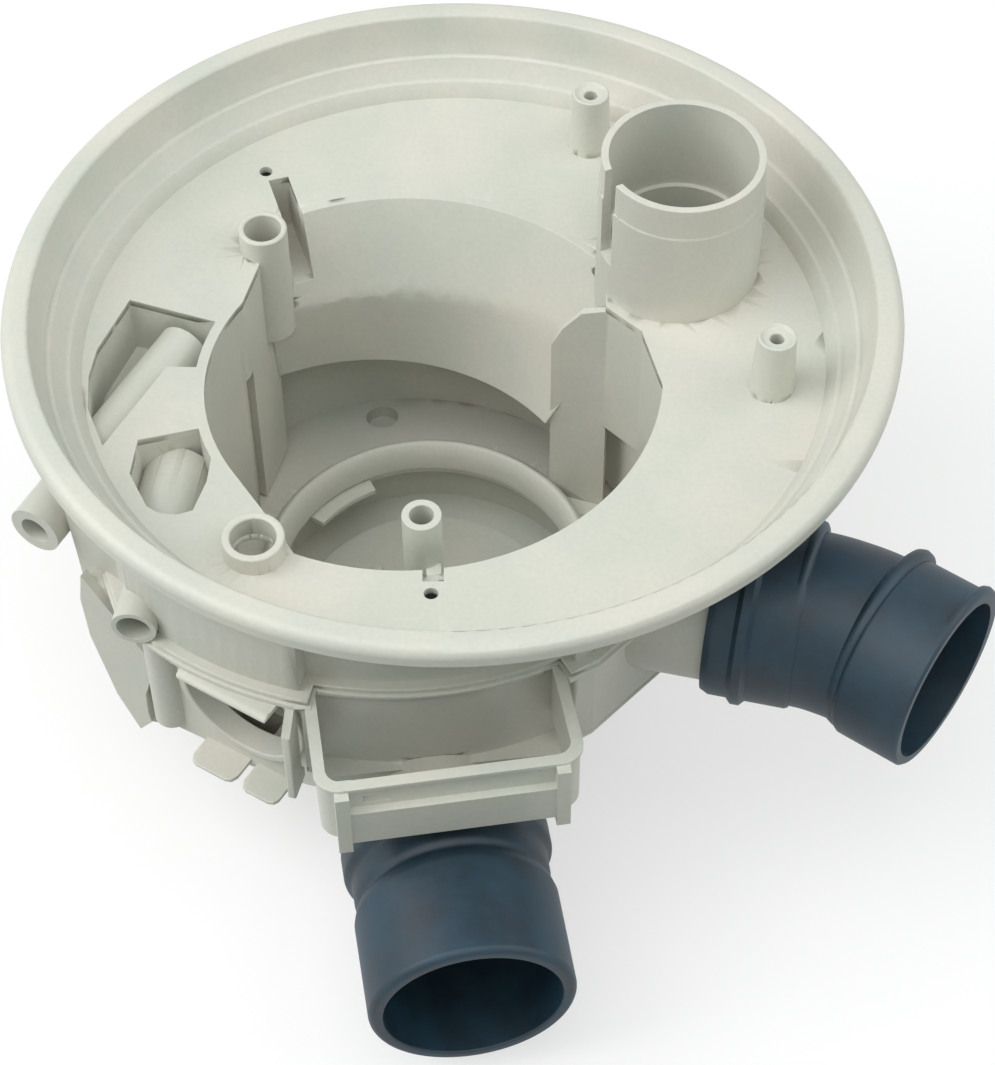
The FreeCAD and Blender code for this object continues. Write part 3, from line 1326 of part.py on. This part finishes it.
bar_step = bar_block("BarStep", 8, bar_run - 16, 1.7, 3, bracket_low, 14.4)
posts = [
    bar_block(f"BarPost{number}", start, c.bracket_post, 2.6, 4, bracket_low - c.bracket_post_drop,
              c.bracket_height + c.bracket_post_drop - 1)
    for number, start in enumerate((5.0, bar_run - 9.0))
]
bar_slot = bar_block("BarSlot", 13, 7.5, 4, 10, -c.bracket_depth - 8, 4)
node("front_guard", cut("FrontGuard", fuse("GuardBlank", bracket_wall, bracket_band, bar_step, *posts),
                        bar_slot, pot_outer, upper_flange, lower_flange, skirt_outer))

# Suction side: spigot and straight sleeve
sleeve_end = c.suction_length
node("suction_spigot", cut("SuctionSpigot", suction_solid, suction_hole, chamber_space_wide))
neck_end = c.suction_length - c.suction_barrel_length
node("suction_sleeve", revolved("SuctionSleeve", [
    (c.suction_spigot_radius, 0),
    (c.suction_neck_radius, 0),
    (c.suction_neck_radius + c.suction_collar_proud, 2.5),
    (c.suction_neck_radius + c.suction_collar_proud, c.suction_collar_length - 2.5),
    (c.suction_neck_radius, c.suction_collar_length),
    (c.suction_neck_radius, neck_end - c.sleeve_groove * 1.5),
    (c.suction_neck_radius - 1.2, neck_end),
    (c.suction_barrel_radius - 0.8, neck_end + c.sleeve_groove),
    (c.suction_barrel_radius, neck_end + c.sleeve_groove * 2.5),
    (c.suction_barrel_radius, sleeve_end - 1.5),
    (c.suction_barrel_radius - 1.2, sleeve_end),
    (c.suction_bore, sleeve_end),
    (c.suction_bore, c.suction_spigot_overlap + 2),
    (c.suction_spigot_radius, c.suction_spigot_overlap),
], x=suction_start_x, y=suction_start_y, z=-c.suction_depth, rotation=suction_turn))

# Pressure side: spigot and bent sleeve


def rounded_run(points, reach):
    """A path through plan points at one level, its corners rounded over a reach."""
    pieces = []
    here = points[0]
    for corner, after in zip(points[1:-1], points[2:]):
        before = corner + (here - corner).normalize() * reach
        beyond = corner + (after - corner).normalize() * reach
        chord = (before + beyond) * 0.5
        half = (before - beyond).Length / 2
        drop = (corner - chord).Length
        radius = half * reach / drop
        centre = chord + (chord - corner).normalize() * (radius ** 2 - half ** 2) ** 0.5
        middle = centre + (corner - centre).normalize() * radius
        pieces.append(Part.LineSegment(here, before).toShape())
        pieces.append(Part.Arc(before, middle, beyond).toShape())
        here = beyond
    pieces.append(Part.LineSegment(here, points[-1]).toShape())
    return Part.Wire(pieces)


def pressure_section(radius, start, end):
    """A circle swept along the sleeve's centre line, its ends moved along it."""
    level = -c.pressure_depth.value
    plan = [
        (c.pressure_neck_x, c.pressure_neck_y),
        (c.pressure_bend_x, c.pressure_bend_y),
        (c.pressure_turn_x, c.pressure_turn_y),
        (c.pressure_x, c.pressure_y),
    ]
    points = [Vector(x.value, y.value, level) for x, y in plan]
    heading = (points[1] - points[0]).normalize()
    leaving = (points[3] - points[2]).normalize()
    points[0] = points[0] - heading * start
    points[3] = points[3] + leaving * end
    ring = Part.Wire([Part.Circle(points[0], heading, radius).toShape()])
    return rounded_run(points, 5.0).makePipeShell([ring], True, False)


pressure_body = shaped("PressureBody", pressure_section(c.pressure_neck_radius.value, -0.6, -1.0))
pressure_inside = shaped("PressureInside", pressure_section(c.pressure_bore.value, 2, 2))
barrel_turn = pointing(c.pressure_end_azimuth)
neck_turn = pointing(c.pressure_start_azimuth)
barrel = revolved("PressureBarrel", [
    (0, 0),
    (c.pressure_neck_radius - 1.0, 0),
    (c.pressure_barrel_radius - 0.8, 1.0),
    (c.pressure_barrel_radius, 2.5),
    (c.pressure_barrel_radius, c.pressure_barrel_length - 0.8),
    (c.pressure_barrel_radius - 0.8, c.pressure_barrel_length),
    (0, c.pressure_barrel_length),
], x=pressure_end_x, y=pressure_end_y, z=-c.pressure_depth, rotation=barrel_turn)
barrel_start_x, barrel_start_y = along(c.pressure_end_azimuth, pressure_end_x, pressure_end_y, 5)
barrel_space = cylinder("BarrelSpace", c.pressure_end_bore, c.pressure_barrel_length,
                        x=barrel_start_x, y=barrel_start_y, z=-c.pressure_depth,
                        rotation=barrel_turn)


def round_ring(name, radius, thick, x, y, rotation):
    """A solid disc with a rounded rim, used as a bead on a sleeve."""
    return revolved(name, [
        (0, 0),
        (radius - thick * 0.4, 0),
        (radius - thick * 0.1, thick * 0.2),
        (radius, thick * 0.5),
        (radius - thick * 0.1, thick * 0.8),
        (radius - thick * 0.4, thick),
        (0, thick),
    ], x=x, y=y, z=-c.pressure_depth, rotation=rotation)


ear_x, ear_y = along(c.pressure_end_azimuth, pressure_end_x, pressure_end_y, -2.8, 2.2)
ear = round_ring("BarrelEar", c.pressure_barrel_radius + 0.8, 5, ear_x, ear_y, barrel_turn)
lip_x, lip_y = along(c.pressure_end_azimuth, c.pressure_x, c.pressure_y, -3.6, 1.3)
lip = round_ring("BarrelLip", c.pressure_barrel_radius + 0.5, 3.6, lip_x, lip_y, barrel_turn)
rib_turn = pointing(c.pressure_rib_azimuth)
rib = round_ring("NeckRib", c.pressure_rib_radius, 3.6, c.pressure_rib_x, c.pressure_rib_y, rib_turn)
neck_bead = revolved("NeckCollar", [
    (0, 0),
    (c.pressure_collar_radius - 1.2, 0),
    (c.pressure_collar_radius, 2.5),
    (c.pressure_collar_radius, 7.8),
    (c.pressure_collar_radius + c.sleeve_bead, 9.3),
    (c.pressure_collar_radius + c.sleeve_bead, 11.8),
    (c.pressure_collar_radius, 13.3),
    (c.pressure_collar_radius, c.pressure_collar_length - 1),
    (c.pressure_collar_radius - 0.5, c.pressure_collar_length),
    (0, c.pressure_collar_length),
], x=sleeve_x, y=sleeve_y, z=-c.pressure_depth, rotation=neck_turn)
node("pressure_sleeve", cut("PressureSleeve",
                            fuse("PressureBlank", pressure_body, barrel, neck_bead, ear, lip, rib),
                            pressure_inside, barrel_space, pot_outer, upper_flange,
                            lower_flange))
node("pressure_spigot", cut("PressureSpigot", pressure_solid, pressure_hole, duct_space,
                            well_outer))

nodes["right_guide_blade"] = cut("RightGuideTrim", nodes["right_guide_blade"],
                                 nodes["chamber_floor"], nodes["filter_seat"])

doc.recompute()
for thing in doc.Objects:
    if "Invalid" in thing.State or "Error" in thing.State:
        print("FAILED", thing.Name, thing.Label, thing.State)

os.makedirs("parts", exist_ok=True)
for name, thing in nodes.items():
    thing.Label = name
    if thing.Shape.isNull() or not thing.Shape.isValid():
        raise ValueError(f"{name} has no valid shape")
    print(name, len(thing.Shape.Solids), round(thing.Shape.Volume))
    thing.Shape.exportStep(f"parts/{name}.step")
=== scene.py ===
import math

import bmesh
import bpy
from mathutils import Matrix, Vector
from mathutils.bvhtree import BVHTree


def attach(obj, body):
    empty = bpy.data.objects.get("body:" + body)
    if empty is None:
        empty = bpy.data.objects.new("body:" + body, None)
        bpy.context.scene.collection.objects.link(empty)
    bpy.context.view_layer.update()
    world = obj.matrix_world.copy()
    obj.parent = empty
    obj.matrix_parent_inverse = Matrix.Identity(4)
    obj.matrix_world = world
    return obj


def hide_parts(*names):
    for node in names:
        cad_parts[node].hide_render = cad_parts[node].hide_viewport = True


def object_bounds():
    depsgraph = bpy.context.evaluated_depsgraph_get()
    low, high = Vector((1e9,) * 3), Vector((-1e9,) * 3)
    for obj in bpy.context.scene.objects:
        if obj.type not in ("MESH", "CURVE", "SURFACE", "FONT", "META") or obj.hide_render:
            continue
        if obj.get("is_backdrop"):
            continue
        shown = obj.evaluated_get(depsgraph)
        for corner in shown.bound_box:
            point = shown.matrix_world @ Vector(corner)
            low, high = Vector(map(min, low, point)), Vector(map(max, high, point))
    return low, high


bl_info = {
    "name": "Dishwasher sump",
    "version": (1, 0, 0),
    "blender": (4, 5, 0),
    "location": "View3D > Sidebar > Sump",
    "description": "Moulded edges, finishes and studio for the sump of a dishwasher",
    "category": "Object",
}

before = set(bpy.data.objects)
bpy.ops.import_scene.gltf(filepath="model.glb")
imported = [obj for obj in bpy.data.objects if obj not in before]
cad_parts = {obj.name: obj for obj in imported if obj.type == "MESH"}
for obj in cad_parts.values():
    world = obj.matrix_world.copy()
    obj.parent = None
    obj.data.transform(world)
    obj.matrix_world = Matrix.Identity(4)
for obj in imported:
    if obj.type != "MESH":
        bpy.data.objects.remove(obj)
MM = 0.001

# Points closer than this are one point, and faces that meet flatter than this are one face
WELD_GAP = 0.002 * MM
FLAT_ANGLE = math.radians(0.003)
# Edges sharper than this are rounded, unless another piece is closer than the gap
SHARP_ANGLE = math.radians(38)
TOUCH_GAP = 0.3 * MM
# Faces that meet at less than this are shaded as one
SMOOTH_ANGLE = math.radians(35)

# The camera fitted to the photo, with the full-frame sensor that its lens is given for
CAMERA_PLACE = (0.01266, -0.5451, 0.5571)
CAMERA_PITCH = math.radians(50.854)
CAMERA_ROLL = math.radians(-0.429)
SENSOR_WIDTH = 36.0

# The lamps are wide and look at the sump's middle
LAMP_WIDTH = 1.2
LAMP_AIM = (0, 0, -0.04)
KEY_PLACE = (-1.1, -0.15, 0.9)
FILL_PLACE = (1.1, -0.05, 0.8)
FRONT_PLACE = (-0.1, -0.5, 1.35)

FLOOR_WIDTH = 6.0
FLOOR_GAP = 0.5 * MM
# Share of the floor's white that doesn't come from the lamps
FLOOR_GLOW = 0.55

# The nodes of the grey moulding, with the width of their rounded edges in mm. The rim is round
# already.
UPPER_NODES = {
    "rim_collar": 0.0,
    "funnel_floor": 0.4,
    "well_wall": 0.4,
    "well_rear_wall": 0.4,
    "feed_socket": 0.6,
    "screw_posts": 0.6,
    "front_locating_post": 0.6,
    "rear_locating_post": 0.6,
    "latch_post": 0.5,
    "left_guide_wall": 0.5,
    "right_guide_blade": 0.5,
    "upper_inlet_nipple": 0.6,
    "lower_inlet_nipple": 0.6,
    "rear_pocket_tray": 0.4,
    "front_pocket_tray": 0.4,
    "keyway_trough": 0.3,
    "upper_skirt": 0.4,
    "upper_seam_flange": 0.5,
}
POT_NODES = {
    "lower_seam_flange": 0.5,
    "pot_wall": 0.5,
    "pot_floor": 0.5,
    "port_hood": 0.5,
    "pump_port": 0.6,
    "drain_chamber": 0.6,
    "drain_passage": 0.6,
    "drain_outlet": 0.4,
    "port_snap_tabs": 0.4,
    "locating_fin": 0.6,
    "front_guard": 0.6,
    "chamber_wall": 0.5,
    "chamber_floor": 0.4,
    "filter_seat": 0.5,
    "drain_cup": 0.5,
    "feed_duct": 0.5,
    "suction_spigot": 0.4,
    "pressure_spigot": 0.4,
}
SLEEVE_NODES = {"suction_sleeve": 0.7, "pressure_sleeve": 0.7}


class SumpColours(bpy.types.PropertyGroup):
    """Colours of the sump's materials, as sRGB hex values."""

    plastic: bpy.props.StringProperty(
        name="Plastic", description="Colour of the grey moulding", default="#CED0C6")
    plastic_tint: bpy.props.StringProperty(
        name="Plastic tint", description="Warmer colour that the moulding drifts to",
        default="#D8D5CB")
    rubber: bpy.props.StringProperty(
        name="Rubber", description="Colour of the sleeves", default="#0C212D")
    rubber_bloom: bpy.props.StringProperty(
        name="Rubber bloom", description="Paler bloom on the sleeves", default="#173A4C")
    flap: bpy.props.StringProperty(
        name="Flap", description="Colour of the flap's rubber", default="#26272A")
    steel: bpy.props.StringProperty(
        name="Steel", description="Colour of the flap's pin", default="#A9ABAD")
    floor: bpy.props.StringProperty(
        name="Floor", description="Colour of the studio floor", default="#FFFFFF")
    floor_bounce: bpy.props.StringProperty(
        name="Floor bounce", description="Colour that the floor throws back at the sump",
        default="#9A9D99")
    shade: bpy.props.StringProperty(
        name="Shade", description="Colour of the even light from all sides", default="#F4FFF8")


class SumpStudio(bpy.types.PropertyGroup):
    """The camera and the lamps."""

    lens: bpy.props.FloatProperty(
        name="Lens", description="Focal length of the camera", default=89.31, unit="CAMERA")
    key: bpy.props.FloatProperty(
        name="Key lamp", description="Power of the lamp at the left in watts", default=14.0)
    fill: bpy.props.FloatProperty(
        name="Fill lamp", description="Power of the lamp at the right in watts", default=6.5)
    front: bpy.props.FloatProperty(
        name="Front lamp", description="Power of the lamp above the camera in watts", default=7.8)
    sky: bpy.props.FloatProperty(
        name="Sky", description="Strength of the even light from all sides", default=0.34)


def linear(hex_colour):
    """An sRGB hex value as linear RGBA."""
    parts = [int(hex_colour[i:i + 2], 16) / 255 for i in (1, 3, 5)]
    return [p / 12.92 if p <= 0.04045 else ((p + 0.055) / 1.055) ** 2.4 for p in parts] + [1.0]


def add(tree, kind, links=None, **settings):
    """Adds one node with its settings, and links other nodes' outputs to its inputs."""
    node = tree.nodes.new(kind)
    for name, value in settings.items():
        if name in node.inputs:
            node.inputs[name].default_value = value
        else:
            setattr(node, name, value)
    for socket, source in (links or {}).items():
        tree.links.new(source, node.inputs[socket])
    return node


def new_material(name, **surface):
    """A material with its shader, node tree and Object coordinates ready for a pattern."""
    material = bpy.data.materials.new(name)
    material.use_nodes = True
    tree = material.node_tree
    tree.nodes.clear()
    shader = add(tree, "ShaderNodeBsdfPrincipled")
    for socket, value in surface.items():
        shader.inputs[socket.replace("_", " ")].default_value = value
    add(tree, "ShaderNodeOutputMaterial", {"Surface": shader.outputs["BSDF"]})
    place = add(tree, "ShaderNodeTexCoord").outputs["Object"]
    return material, tree, shader, place


def colour_ramp(tree, factor, stops):
    """A colour ramp over (position, colour) stops."""
    ramp = add(tree, "ShaderNodeValToRGB", {"Fac": factor})
    elements = ramp.color_ramp.elements
    for element, (position, colour) in zip(elements, stops[:2]):
        element.position = position
        element.color = colour
    for position, colour in stops[2:]:
        elements.new(position).color = colour
    return ramp.outputs["Color"]


def moulded_polypropylene(colours):
    """Talc-filled polypropylene, injection moulded: pale warm grey, faintly mottled, satin."""
    material, tree, shader, place = new_material("moulded_polypropylene", IOR=1.49, Roughness=0.42)
    # Flow marks drift over about 45 mm between a cooler and a warmer grey
    drift = add(tree, "ShaderNodeTexNoise", {"Vector": place}, Scale=22.0, Detail=3.0,
                Roughness=0.5)
    # Fine mottling of the filler, drawn 1.5 mm coarse so that it shows
    mottle = add(tree, "ShaderNodeTexNoise", {"Vector": place}, Scale=650.0, Detail=2.0)
    pale = colour_ramp(tree, drift.outputs["Fac"],
                       [(0.38, linear(colours.plastic)), (0.62, linear(colours.plastic_tint))])
    shade = colour_ramp(tree, mottle.outputs["Fac"],
                        [(0.3, (0.955, 0.955, 0.955, 1)), (0.7, (1, 1, 1, 1))])
    tone = add(tree, "ShaderNodeMix", data_type="RGBA", blend_type="MULTIPLY")
    tone.inputs["Factor"].default_value = 1.0
    tree.links.new(pale, tone.inputs["A"])
    tree.links.new(shade, tone.inputs["B"])
    tree.links.new(tone.outputs["Result"], shader.inputs["Base Color"])
    # Spark-eroded mould grain, 0.6 mm
    grain = add(tree, "ShaderNodeTexNoise", {"Vector": place}, Scale=1600.0, Detail=2.0)
    bump = add(tree, "ShaderNodeBump", {"Height": grain.outputs["Fac"]}, Strength=0.12,
               Distance=0.00012)
    tree.links.new(bump.outputs["Normal"], shader.inputs["Normal"])
    return material


def moulded_rubber(colours):
    """EPDM rubber, press moulded: blue-black with a greyish bloom, dull with a soft sheen."""
    material, tree, shader, place = new_material("moulded_rubber", IOR=1.52, Roughness=0.5)
    bloom = add(tree, "ShaderNodeTexNoise", {"Vector": place}, Scale=60.0, Detail=6.0,
                Roughness=0.65)
    tone = colour_ramp(tree, bloom.outputs["Fac"],
                       [(0.35, linear(colours.rubber)), (0.75, linear(colours.rubber_bloom))])
    tree.links.new(tone, shader.inputs["Base Color"])
    # The bloom scatters a little more than the bare rubber
    rough = add(tree, "ShaderNodeMapRange", {"Value": bloom.outputs["Fac"]})
    rough.inputs["To Min"].default_value = 0.42
    rough.inputs["To Max"].default_value = 0.6
    tree.links.new(rough.outputs["Result"], shader.inputs["Roughness"])
    # Skin of the press mould, 1 mm waves
    skin = add(tree, "ShaderNodeTexNoise", {"Vector": place}, Scale=900.0, Detail=3.0)
    bump = add(tree, "ShaderNodeBump", {"Height": skin.outputs["Fac"]}, Strength=0.18,
               Distance=0.0002)
    tree.links.new(bump.outputs["Normal"], shader.inputs["Normal"])
    return material


def flap_rubber(colours):
    """Nitrile rubber sheet, black and dull."""
    material, tree, shader, place = new_material("nitrile_rubber", IOR=1.52, Roughness=0.6)
    grain = add(tree, "ShaderNodeTexNoise", {"Vector": place}, Scale=1500.0, Detail=2.0)
    dark = linear(colours.flap)
    pale = [channel * 1.4 for channel in dark[:3]] + [1.0]
    tree.links.new(colour_ramp(tree, grain.outputs["Fac"], [(0.4, dark), (0.7, pale)]),
                   shader.inputs["Base Color"])
    return material


def pin_steel(colours):
    """Stainless steel wire, drawn and cut."""
    material, tree, shader, place = new_material("drawn_stainless_steel", Metallic=1.0,
                                                 Roughness=0.3)
    scratch = add(tree, "ShaderNodeTexNoise", {"Vector": place}, Scale=3000.0, Detail=2.0)
    bright = linear(colours.steel)
    dull = [channel * 0.8 for channel in bright[:3]] + [1.0]
    tree.links.new(colour_ramp(tree, scratch.outputs["Fac"], [(0.4, dull), (0.6, bright)]),
                   shader.inputs["Base Color"])
    return material


MATERIAL_MAKERS = {
    "grey_plastic": moulded_polypropylene,
    "sleeve_rubber": moulded_rubber,
    "flap_rubber": flap_rubber,
    "pin_steel": pin_steel,
}
materials = {}


def finish_for(slot):
    """The material of a slot, made when it is first asked for."""
    if slot not in materials:
        materials[slot] = MATERIAL_MAKERS[slot](bpy.context.scene.sump_colours)
    return materials[slot]


def dress(thing, slot):
    """Gives an object the material of a slot."""
    material = finish_for(slot)
    if thing.material_slots:
        for each in thing.material_slots:
            each.material = material
    else:
        thing.data.materials.append(material)


def pick(thing):
    """Makes one object the selected and active one."""
    bpy.ops.object.select_all(action="DESELECT")
    thing.select_set(True)
    bpy.context.view_layer.objects.active = thing


def surface_of_others(node):
    """A search tree over every other CAD node's faces."""
    points = []
    faces = []
    for name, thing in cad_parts.items():
        if name == node:
            continue
        start = len(points)
        points.extend(v.co.copy() for v in thing.data.vertices)
        faces.extend([start + i for i in face.vertices] for face in thing.data.polygons)
    return BVHTree.FromPolygons(points, faces)


def select_free_edges(mesh, others):
    """Selects the sharp edges that don't touch another piece, at their ends or middle."""
    for edge in mesh.edges:
        if len(edge.link_faces) != 2 or edge.calc_face_angle(0) < SHARP_ANGLE:
            continue
        ends = [vert.co for vert in edge.verts]
        spots = ends + [(ends[0] + ends[1]) / 2]
        if all(others.find_nearest(spot, TOUCH_GAP)[0] is None for spot in spots):
            edge.select_set(True)


def moulded_copy(node, edge_width, body, slot):
    """Adds a copy of a node with its free sharp edges rounded, as a mould leaves them."""
    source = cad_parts[node]
    piece = bpy.data.objects.new(f"{node}_moulded", source.data.copy())
    bpy.context.scene.collection.objects.link(piece)
    pick(piece)
    bpy.ops.object.mode_set(mode="EDIT")
    bpy.ops.mesh.select_all(action="SELECT")
    bpy.ops.mesh.remove_doubles(threshold=WELD_GAP)
    bpy.ops.mesh.dissolve_limited(angle_limit=FLAT_ANGLE)
    bpy.ops.mesh.select_mode(type="EDGE")
    bpy.ops.mesh.select_all(action="DESELECT")
    if edge_width > 0:
        select_free_edges(bmesh.from_edit_mesh(piece.data), surface_of_others(node))
        bmesh.update_edit_mesh(piece.data)
        bpy.ops.mesh.bevel(offset=edge_width * MM, segments=2, profile=0.5, affect="EDGES",
                           clamp_overlap=True)
    bpy.ops.object.mode_set(mode="OBJECT")
    bpy.ops.object.shade_smooth_by_angle(angle=SMOOTH_ANGLE)
    bpy.ops.object.modifier_add(type="WEIGHTED_NORMAL")
    piece.modifiers[-1].keep_sharp = True
    bpy.ops.object.modifier_apply(modifier=piece.modifiers[-1].name)
    dress(piece, slot)
    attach(piece, body)
    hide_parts(node)


class SUMP_OT_upper_moulding(bpy.types.Operator):
    """Rounds the edges of the funnel, its well and its posts."""

    bl_idname = "sump.upper_moulding"
    bl_label = "Upper moulding"

    def execute(self, context):
        for node, width in UPPER_NODES.items():
            moulded_copy(node, width, "sump", "grey_plastic")
        return {"FINISHED"}


class SUMP_OT_lower_pot(bpy.types.Operator):
    """Rounds the edges of the pot, its chambers and the guard."""

    bl_idname = "sump.lower_pot"
    bl_label = "Lower pot"

    def execute(self, context):
        for node, width in POT_NODES.items():
            moulded_copy(node, width, "sump", "grey_plastic")
        return {"FINISHED"}


class SUMP_OT_sleeves(bpy.types.Operator):
    """Rounds the edges of the two rubber sleeves."""

    bl_idname = "sump.sleeves"
    bl_label = "Rubber sleeves"

    def execute(self, context):
        for node, width in SLEEVE_NODES.items():
            moulded_copy(node, width, "sump", "sleeve_rubber")
        return {"FINISHED"}


class SUMP_OT_flap(bpy.types.Operator):
    """Gives the non-return flap and its pin their finish."""

    bl_idname = "sump.flap"
    bl_label = "Non-return flap"

    def execute(self, context):
        dress(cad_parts["non_return_flap"], "flap_rubber")
        dress(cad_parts["flap_pin"], "pin_steel")
        return {"FINISHED"}


def area_lamp(name, place, power):
    """Adds a square soft lamp that looks at the sump."""
    data = bpy.data.lights.new(name, "AREA")
    data.shape = "SQUARE"
    data.size = LAMP_WIDTH
    data.energy = power
    lamp = bpy.data.objects.new(name, data)
    lamp.location = place
    aim = Vector(LAMP_AIM) - Vector(place)
    lamp.rotation_euler = aim.to_track_quat("-Z", "Y").to_euler()
    bpy.context.scene.collection.objects.link(lamp)


def seen_directly(tree):
    """1 for rays from the camera, and for those in reflections and through clear things."""
    path = add(tree, "ShaderNodeLightPath")
    seen = path.outputs["Is Camera Ray"]
    for ray in ("Is Glossy Ray", "Is Transmission Ray"):
        larger = add(tree, "ShaderNodeMath", {0: seen, 1: path.outputs[ray]}, operation="MAXIMUM")
        seen = larger.outputs[0]
    return seen


def studio_floor(colours, level):
    """Adds a wide pale sheet under the sump."""
    bpy.ops.object.select_all(action="DESELECT")
    bpy.ops.mesh.primitive_plane_add(size=FLOOR_WIDTH, location=(0, 0, level))
    floor = bpy.context.active_object
    floor.name = "studio_floor"
    bpy.ops.object.transform_apply(location=True)
    material, tree, shader, place = new_material("studio_paper", Roughness=0.9)
    shader.inputs["Emission Color"].default_value = linear(colours.floor)
    grain = add(tree, "ShaderNodeTexNoise", {"Vector": place}, Scale=3.0, Detail=1.0)
    seen = seen_directly(tree)
    pale = [channel * (1 - FLOOR_GLOW) for channel in linear(colours.floor)[:3]] + [1.0]
    paler = [channel * 1.04 for channel in pale[:3]] + [1.0]
    paper = colour_ramp(tree, grain.outputs["Fac"], [(0.3, pale), (0.7, paler)])
    # White to the eye and in reflections, with a soft shadow, and duller in the light that it
    # throws at the sump
    glow = add(tree, "ShaderNodeMath", {0: seen}, operation="MULTIPLY")
    glow.inputs[1].default_value = FLOOR_GLOW
    tree.links.new(glow.outputs[0], shader.inputs["Emission Strength"])
    tone = add(tree, "ShaderNodeMix", {"Factor": seen}, data_type="RGBA")
    tone.inputs["A"].default_value = linear(colours.floor_bounce)
    tree.links.new(paper, tone.inputs["B"])
    tree.links.new(tone.outputs["Result"], shader.inputs["Base Color"])
    floor.data.materials.append(material)
    floor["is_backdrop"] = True


class SUMP_OT_stage(bpy.types.Operator):
    """Adds the floor, the lamps, the world and the camera."""

    bl_idname = "sump.stage"
    bl_label = "Stage"

    def execute(self, context):
        scene = context.scene
        studio = scene.sump_studio
        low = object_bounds()[0]
        studio_floor(scene.sump_colours, low[2] - FLOOR_GAP)
        area_lamp("key_lamp", KEY_PLACE, studio.key)
        area_lamp("fill_lamp", FILL_PLACE, studio.fill)
        area_lamp("front_lamp", FRONT_PLACE, studio.front)
        world = bpy.data.worlds.new("studio_world")
        world.use_nodes = True
        world.node_tree.nodes.clear()
        even = add(world.node_tree, "ShaderNodeBackground", Color=linear(scene.sump_colours.shade),
                   Strength=studio.sky)
        white = add(world.node_tree, "ShaderNodeBackground", Color=(1, 1, 1, 1), Strength=1.0)
        mix = add(world.node_tree, "ShaderNodeMixShader",
                  {0: seen_directly(world.node_tree), 1: even.outputs[0], 2: white.outputs[0]})
        add(world.node_tree, "ShaderNodeOutputWorld", {"Surface": mix.outputs[0]})
        scene.world = world
        data = bpy.data.cameras.new("photo_camera")
        data.lens = studio.lens
        data.sensor_width = SENSOR_WIDTH
        camera = bpy.data.objects.new("photo_camera", data)
        camera.matrix_world = (Matrix.Translation(CAMERA_PLACE)
                               @ Matrix.Rotation(math.pi / 2 - CAMERA_PITCH, 4, "X")
                               @ Matrix.Rotation(CAMERA_ROLL, 4, "Z"))
        scene.collection.objects.link(camera)
        scene.camera = camera
        scene.view_settings.view_transform = "Standard"
        return {"FINISHED"}


class SUMP_PT_panel(bpy.types.Panel):
    """Lists the sump's pieces in the sidebar."""

    bl_idname = "SUMP_PT_panel"
    bl_label = "Sump"
    bl_space_type = "VIEW_3D"
    bl_region_type = "UI"
    bl_category = "Sump"

    def draw(self, context):
        for operator in OPERATORS:
            self.layout.operator(operator.bl_idname)


OPERATORS = (
    SUMP_OT_upper_moulding,
    SUMP_OT_lower_pot,
    SUMP_OT_sleeves,
    SUMP_OT_flap,
    SUMP_OT_stage,
)
CLASSES = (SumpColours, SumpStudio) + OPERATORS + (SUMP_PT_panel,)


def register():
    for each in CLASSES:
        bpy.utils.register_class(each)
    bpy.types.Scene.sump_colours = bpy.props.PointerProperty(type=SumpColours)
    bpy.types.Scene.sump_studio = bpy.props.PointerProperty(type=SumpStudio)


def unregister():
    del bpy.types.Scene.sump_studio
    del bpy.types.Scene.sump_colours
    for each in reversed(CLASSES):
        bpy.utils.unregister_class(each)


def main():
    register()
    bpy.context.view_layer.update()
    bpy.ops.sump.upper_moulding()
    bpy.ops.sump.lower_pot()
    bpy.ops.sump.sleeves()
    bpy.ops.sump.flap()
    bpy.ops.sump.stage()


if __name__ == "__main__":
    main()
